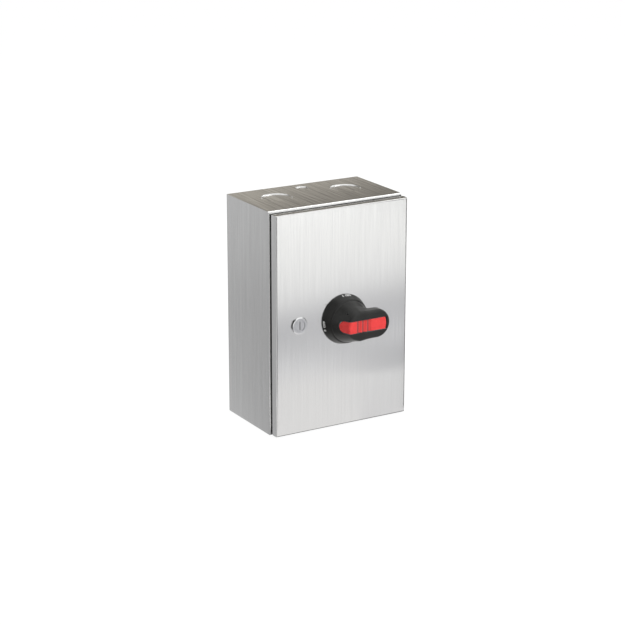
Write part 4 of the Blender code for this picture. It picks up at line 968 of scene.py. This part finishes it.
# Padlock bar
# The red bar let into the grip, flush with its face: a flat with three finger grooves and an end bent down
# the hub. Pressing the bent end lifts the other, and a shackle goes through the hole in its side.
BAR_BEND = 0.0032
BAR_EDGE = 0.0005
BAR_EDGE_SHARE = 0.4
BAR_NOSE = 0.00012
BAR_NOSE_CROWDING = 1.6
BAR_STEPS = (26, 10, 150)
BAR_GROOVE_RADIUS = 0.0050
BAR_GROOVE_DEPTH = 0.00124
BAR_GROOVE_PITCH = 0.0075
BAR_GROOVE_CENTRE = 0.0048
BAR_SLOPE_DEPTH = 0.0045
BAR_TIP_BOW = 0.0013
BAR_TIP_BOW_RUN = 0.008
BAR_HEEL = Vector((-0.0112, 0.0372))
BAR_HEEL_RUN = 0.006
BAR_SMOOTH = radians(40)
PADLOCK_HOLE_RADIUS = 0.0035
PADLOCK_HOLE_ALONG = 0.026
PADLOCK_HOLE_HEIGHT = 0.0377
RED_CLOUD = 0.005
RED_GRAIN = 0.0006
# Painted shade in the finger grooves: how much darker each is painted across its width, most nearer the hub.
GROOVE_SHADE = ((0.0, "#000000"), (0.10, "#B0B0B0"), (0.22, "#FFFFFF"), (0.42, "#E0E0E0"), (0.66, "#404040"),
          (0.80, "#000000"))

# Signal red polyamide from a polished mould: saturated, satin, faintly uneven under the surface.
red, tree = material_tree("moulded_red_polyamide")
grit = noise(tree, RED_GRAIN)
unshaded_red = graded(tree, noise(tree, RED_CLOUD), (0.3, "#E23636"), (0.7, "#EA3D3D"))
first_groove = HANDLE_AXIS.x + BAR_GROOVE_CENTRE - 1.5 * BAR_GROOVE_PITCH
along_bar = add(tree, "ShaderNodeSeparateXYZ", {0: in_object(tree)}).outputs["X"]
past_first = maths(tree, "SUBTRACT", along_bar, first_groove)
grooved = maths(tree, "MULTIPLY", maths(tree, "LESS_THAN", past_first, 3 * BAR_GROOVE_PITCH),
                maths(tree, "GREATER_THAN", past_first, 0.0))
across_groove = maths(tree, "FRACT", maths(tree, "DIVIDE", past_first, BAR_GROOVE_PITCH))
# Painted shade: the red is darkened across each finger groove.
groove_shading = maths(tree, "MULTIPLY", grooved, graded(tree, across_groove, *GROOVE_SHADE))
surfaced(tree, {
    "Base Color": blended(tree, "RGBA", groove_shading, unshaded_red, linear("#8E3A3A")),
    "Roughness": ranged(tree, grit, NOISE_SPAN, (0.34, 0.42)), "Normal": bumped(tree, grit, 0.08),
    "Specular IOR Level": 0.4})


def groove_depth(along):
    """How far the finger grooves sink the flat at a place along the lever."""
    deepest = 0.0
    for number in (-1, 0, 1):
        off = abs(along - BAR_GROOVE_CENTRE - number * BAR_GROOVE_PITCH)
        if off < BAR_GROOVE_RADIUS:
            sunk = sqrt(BAR_GROOVE_RADIUS ** 2 - off ** 2) - (BAR_GROOVE_RADIUS - BAR_GROOVE_DEPTH)
            deepest = max(deepest, sunk)
    return deepest


def bar_stations():
    """(outer point, inner point, half width, crown) along the bar, from its bent end to its tip."""
    slope_steps, bend_steps, flat_steps = BAR_STEPS
    half = BAR_WIDTH / 2
    up = Vector((cos(slope), sin(slope)))
    out = Vector((-up.y, up.x))
    fold = Vector((-BAR_FOLD, grip_front))
    reach = BAR_BEND * tan(slope / 2)
    crown = sin(slope) / (2 * hub_radius(grip_front - BAR_SLOPE_LENGTH / 2))
    stations = []
    straight = BAR_SLOPE_LENGTH - reach
    for step in range(slope_steps):
        run = BAR_NOSE + (straight - BAR_NOSE) * (step / slope_steps) ** BAR_NOSE_CROWDING
        width = half if run > half else sqrt(half ** 2 - (half - run) ** 2)
        point = fold - up * (BAR_SLOPE_LENGTH - run)
        stations.append((point, point - out * BAR_SLOPE_DEPTH, width, crown))
    centre = fold - up * reach - out * BAR_BEND
    for step in range(bend_steps + 1):
        turn = slope * step / bend_steps
        facing = Vector((-sin(slope - turn), cos(slope - turn)))
        stations.append((centre + facing * BAR_BEND, BAR_HEEL, half, crown * (1 - step / bend_steps)))
    start = -BAR_FOLD + reach
    for step in range(1, flat_steps + 1):
        along = start + (bar_tip - start) * step / flat_steps
        share = min(1.0, (along - start) / BAR_HEEL_RUN)
        inner = BAR_HEEL.lerp(Vector((BAR_HEEL.x + BAR_HEEL_RUN, grip_front - BAR_DEPTH)), share)
        inner.x = max(inner.x, along) if share == 1.0 else inner.x
        stations.append((Vector((along, grip_front - groove_depth(along))), inner, half, 0.0))
    return stations


def bar_ring(outer, inner, half, crown):
    """A section of the bar: rounded upper edges, upright sides, flat underside."""
    down = (inner - outer).normalized()
    edge = min(BAR_EDGE, half * BAR_EDGE_SHARE)
    upper = [(half - edge * inset, edge * fall) for inset, fall in quarter(EDGE_STEPS)]
    upper += [((half - edge) * share, 0.0) for share in (0.75, 0.5, 0.25)]
    across = upper + [(0.0, 0.0)] + [(-over, drop) for over, drop in reversed(upper)]
    bow = max(0.0, 1.0 - (bar_tip - outer.x) / BAR_TIP_BOW_RUN) * BAR_TIP_BOW / half ** 2
    ring = []
    for over, drop in across:
        place = outer + down * (drop + crown * over ** 2)
        ring.append(on_handle(place.x - bow * over ** 2, over, place.y))
    ring += [on_handle(inner.x - bow * half ** 2, over, inner.y) for over in (-half, half)]
    return ring


rings = [bar_ring(*station) for station in bar_stations()]
rings.append([Vector((point.x, rings[-1][-1].y, point.z)) for point in rings[-1]])
bar_mesh = lofted(rings)
shackle_ends = [on_handle(PADLOCK_HOLE_ALONG, over, PADLOCK_HOLE_HEIGHT) for over in (-BAR_WIDTH, BAR_WIDTH)]
shackle_hole = drill(*shackle_ends, PADLOCK_HOLE_RADIUS)
bar = finished("padlock_bar_moulding", carved(bar_mesh, shackle_hole), "padlock_bar", "red_plastic", red,
               "padlock_bar", smooth=BAR_SMOOTH)
# The photographed steel shows no mirror image of the handle.
for piece in (base, grip, release_screw, bar):
    piece.visible_glossy = False

# Mounting plate
# A flat plate of galvanised steel that carries the switch and the fuses. Nuts hold it on four studs that are
# welded to the back wall.
plated("mounting_plate", "enclosure", finish=zinc_plated("galvanised_sheet", "#C6C9CB", "#A3A7AA"))
for number in range(1, 5):
    plated(f"plate_nut_{number}", "enclosure")

# Threads
# The rolled ridges of the plate studs and of the latch barrel. They are stacked rings of the real pitch,
# because the slope of a single turn is too small to see.
STUD_PITCH = 0.001
STUD_SHOWN = 0.0018
BARREL_PITCH = 0.0015
RIDGE = 0.0003
RIDGE_SUNK = 0.4
RIDGE_SMOOTH = radians(70)
RING_POINTS = 40
CREST_POINTS = 6

ridges = bpy.data.node_groups.new("thread_ridges", "GeometryNodeTree")
ridge_inputs = {}
for label, kind in (("Starts", "Geometry"), ("Core Radius", "Float"), ("Ridge Radius", "Float"),
                    ("Pitch", "Float"), ("Turns", "Int"), ("Finish", "Material")):
    ridge_inputs[label] = ridges.interface.new_socket(label, in_out="INPUT", socket_type=f"NodeSocket{kind}")
ridges.interface.new_socket("Threads", in_out="OUTPUT", socket_type="NodeSocketGeometry")
given = add(ridges, "NodeGroupInput").outputs


def wound(kind, inputs, **settings):
    """The result of a geometry node of the thread group."""
    return add(ridges, f"GeometryNode{kind}", inputs, **settings).outputs[0]


ring, crest = [wound("CurvePrimitiveCircle", {"Resolution": points, "Radius": given[radius]}, mode="RADIUS")
               for points, radius in ((RING_POINTS, "Core Radius"), (CREST_POINTS, "Ridge Radius"))]
tube = wound("CurveToMesh", {"Curve": ring, "Profile Curve": crest})
facing = wound("Transform", {"Geometry": tube, "Rotation": (pi / 2, 0.0, 0.0)})
step_back = add(ridges, "ShaderNodeCombineXYZ", {"Y": given["Pitch"]}).outputs[0]
stack = wound("MeshLine", {"Count": given["Turns"], "Offset": step_back}, mode="OFFSET")
thread = wound("InstanceOnPoints", {"Points": stack, "Instance": facing})
threads = wound("InstanceOnPoints", {"Points": given["Starts"], "Instance": thread})
real = wound("RealizeInstances", {"Geometry": threads})
coated = wound("SetMaterial", {"Geometry": real, "Material": given["Finish"]})
add(ridges, "NodeGroupOutput", {"Threads": coated})


def threaded(name, starts, radius, pitch, length, body, slot, material):
    """Ridges round bars that start at the given points and run towards the wall."""
    mesh = bpy.data.meshes.new(name)
    mesh.from_pydata(starts, [], [])
    host = placed(name, mesh)
    nodes = host.modifiers.new("threads", "NODES")
    nodes.node_group = ridges
    values = {"Core Radius": radius - RIDGE * RIDGE_SUNK, "Ridge Radius": RIDGE, "Pitch": pitch,
              "Turns": int(length / pitch), "Finish": material}
    for label, value in values.items():
        nodes[ridge_inputs[label].identifier] = value
    finished(name, merged(opened(baked(host))), body, slot, material, smooth=RIDGE_SMOOTH)


stud_starts = []
for number in range(1, 5):
    middle = middle_of(f"plate_nut_{number}")
    nut_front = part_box(f"plate_nut_{number}")[0].y
    stud_starts.append((middle.x, nut_front - STUD_SHOWN + STUD_PITCH / 2, middle.z))
threaded("stud_threads", stud_starts, STUD_RADIUS, STUD_PITCH, STUD_SHOWN, "enclosure", "brushed_stainless",
         stainless)
nut_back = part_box("latch_nut")[1].y
threaded("latch_barrel_threads", [(LATCH_AXIS.x, nut_back + BARREL_PITCH / 2, LATCH_AXIS.z)], BARREL_RADIUS,
         BARREL_PITCH, housing_high.y - nut_back - RIDGE, "door", "chromed", chrome)

# Switch block
# The fusible load-break switch: a base moulded in grey glass polyester, a black front cover, a brass rotor
# and the square steel shaft that the handle drives through its coupler.
MOULDED_EDGE = 0.0003
POLYESTER_FIBRE = 0.0012
POLYESTER_MOTTLE = 0.008
BRASS_MARK = 0.0005

# Glass-filled thermoset from a hot press: matt and opaque, with short fibres faintly mottled through it.
polyester, tree = material_tree("grey_glass_polyester")
fibres = noise(tree, POLYESTER_FIBRE)
mottled = blended(tree, "FLOAT", 0.5, fibres, noise(tree, POLYESTER_MOTTLE))
surfaced(tree, {
    "Base Color": graded(tree, mottled, (0.34, "#7A7D80"), (0.66, "#8B8E91")),
    "Roughness": ranged(tree, fibres, NOISE_SPAN, (0.46, 0.60)), "Normal": bumped(tree, fibres, 0.1)})

# Free-cutting brass, turned: warm yellow with fine turning marks and a light tarnish.
brass, tree = material_tree("turned_brass")
marks = noise(tree, BRASS_MARK, 3.0)
surfaced(tree, {
    "Base Color": graded(tree, marks, (0.0, "#B8923F"), (1.0, "#DDBE72")), "Metallic": 1.0,
    "Roughness": ranged(tree, marks, (0.0, 1.0), (0.24, 0.42))})
dressed("switch_base", "moulding", MOULDED_EDGE, "enclosure", "grey_plastic", polyester)
dressed("switch_cover", "moulding", MOULDED_EDGE, "enclosure", "black_plastic", black)
dressed("switch_rotor", "brass", STEEL_EDGE, "shaft", "brass_rotor", brass)
plated("switch_shaft", "shaft")

# Wire lugs
# Drawn aluminium blocks, tin flashed, with a wire bore and a hexagon socket screw; a ground lug sits on the
# plate at the right.
LUG_EDGE = 0.0003
LUG_SCREW_EDGE = 0.0002
POLES = range(1, 4)
aluminium = zinc_plated("tin_flashed_aluminium", "#DADBDB", "#BFC1C2")
for pattern in [f"{side}_{{}}_{pole}" for side in ("line", "load") for pole in POLES] + ["ground_{}"]:
    dressed(pattern.format("lug"), "block", LUG_EDGE, "enclosure", "aluminium_lug", aluminium)
    plated(pattern.format("screw"), "enclosure", LUG_SCREW_EDGE)

# Fuses
# Three cartridge fuses, 57 mm long, in spring clips on a moulded base with barriers between the poles. Each
# is a tube of glass-cloth laminate with a nickel-plated ferrule crimped over both ends.
FERRULE_LENGTH = 0.014
FUSE_EDGE = 0.0003
CLIP_EDGE = 0.0002
LAMINATE_WEAVE = 0.0011

# Ivory laminate with a woven print-through, and bright nickel ferrules where Z is near either end.
cartridge, tree = material_tree("nickel_and_glass_laminate")
fuse_low, fuse_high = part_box("fuse_1")
height = add(tree, "ShaderNodeSeparateXYZ", {0: in_object(tree)}).outputs["Z"]
off_middle = maths(tree, "ABSOLUTE", maths(tree, "SUBTRACT", height, (fuse_low.z + fuse_high.z) / 2))
metal = maths(tree, "GREATER_THAN", off_middle, (fuse_high.z - fuse_low.z) / 2 - FERRULE_LENGTH)
cloth = noise(tree, LAMINATE_WEAVE)
laminate = graded(tree, cloth, (0.3, "#CFC5A8"), (0.7, "#DED6BD"))
nickel = graded(tree, cloth, (0.0, "#BFB9AE"), (1.0, "#DBD6CC"))
surfaced(tree, {
    "Base Color": blended(tree, "RGBA", metal, laminate, nickel), "Metallic": metal,
    "Roughness": ranged(tree, metal, (0.0, 1.0), (0.52, 0.28))})
tinned = zinc_plated("tinned_spring_copper", "#D9CFC2", "#BDB1A2")
dressed("fuse_base", "moulding", MOULDED_EDGE, "enclosure", "grey_plastic", polyester)
for pole in POLES:
    dressed(f"fuse_{pole}", "cartridge", FUSE_EDGE, "enclosure", "fuse_tube", cartridge)
    for end in ("upper", "lower"):
        dressed(f"fuse_clip_{end}_{pole}", "spring", CLIP_EDGE, "enclosure", "tinned_copper", tinned)
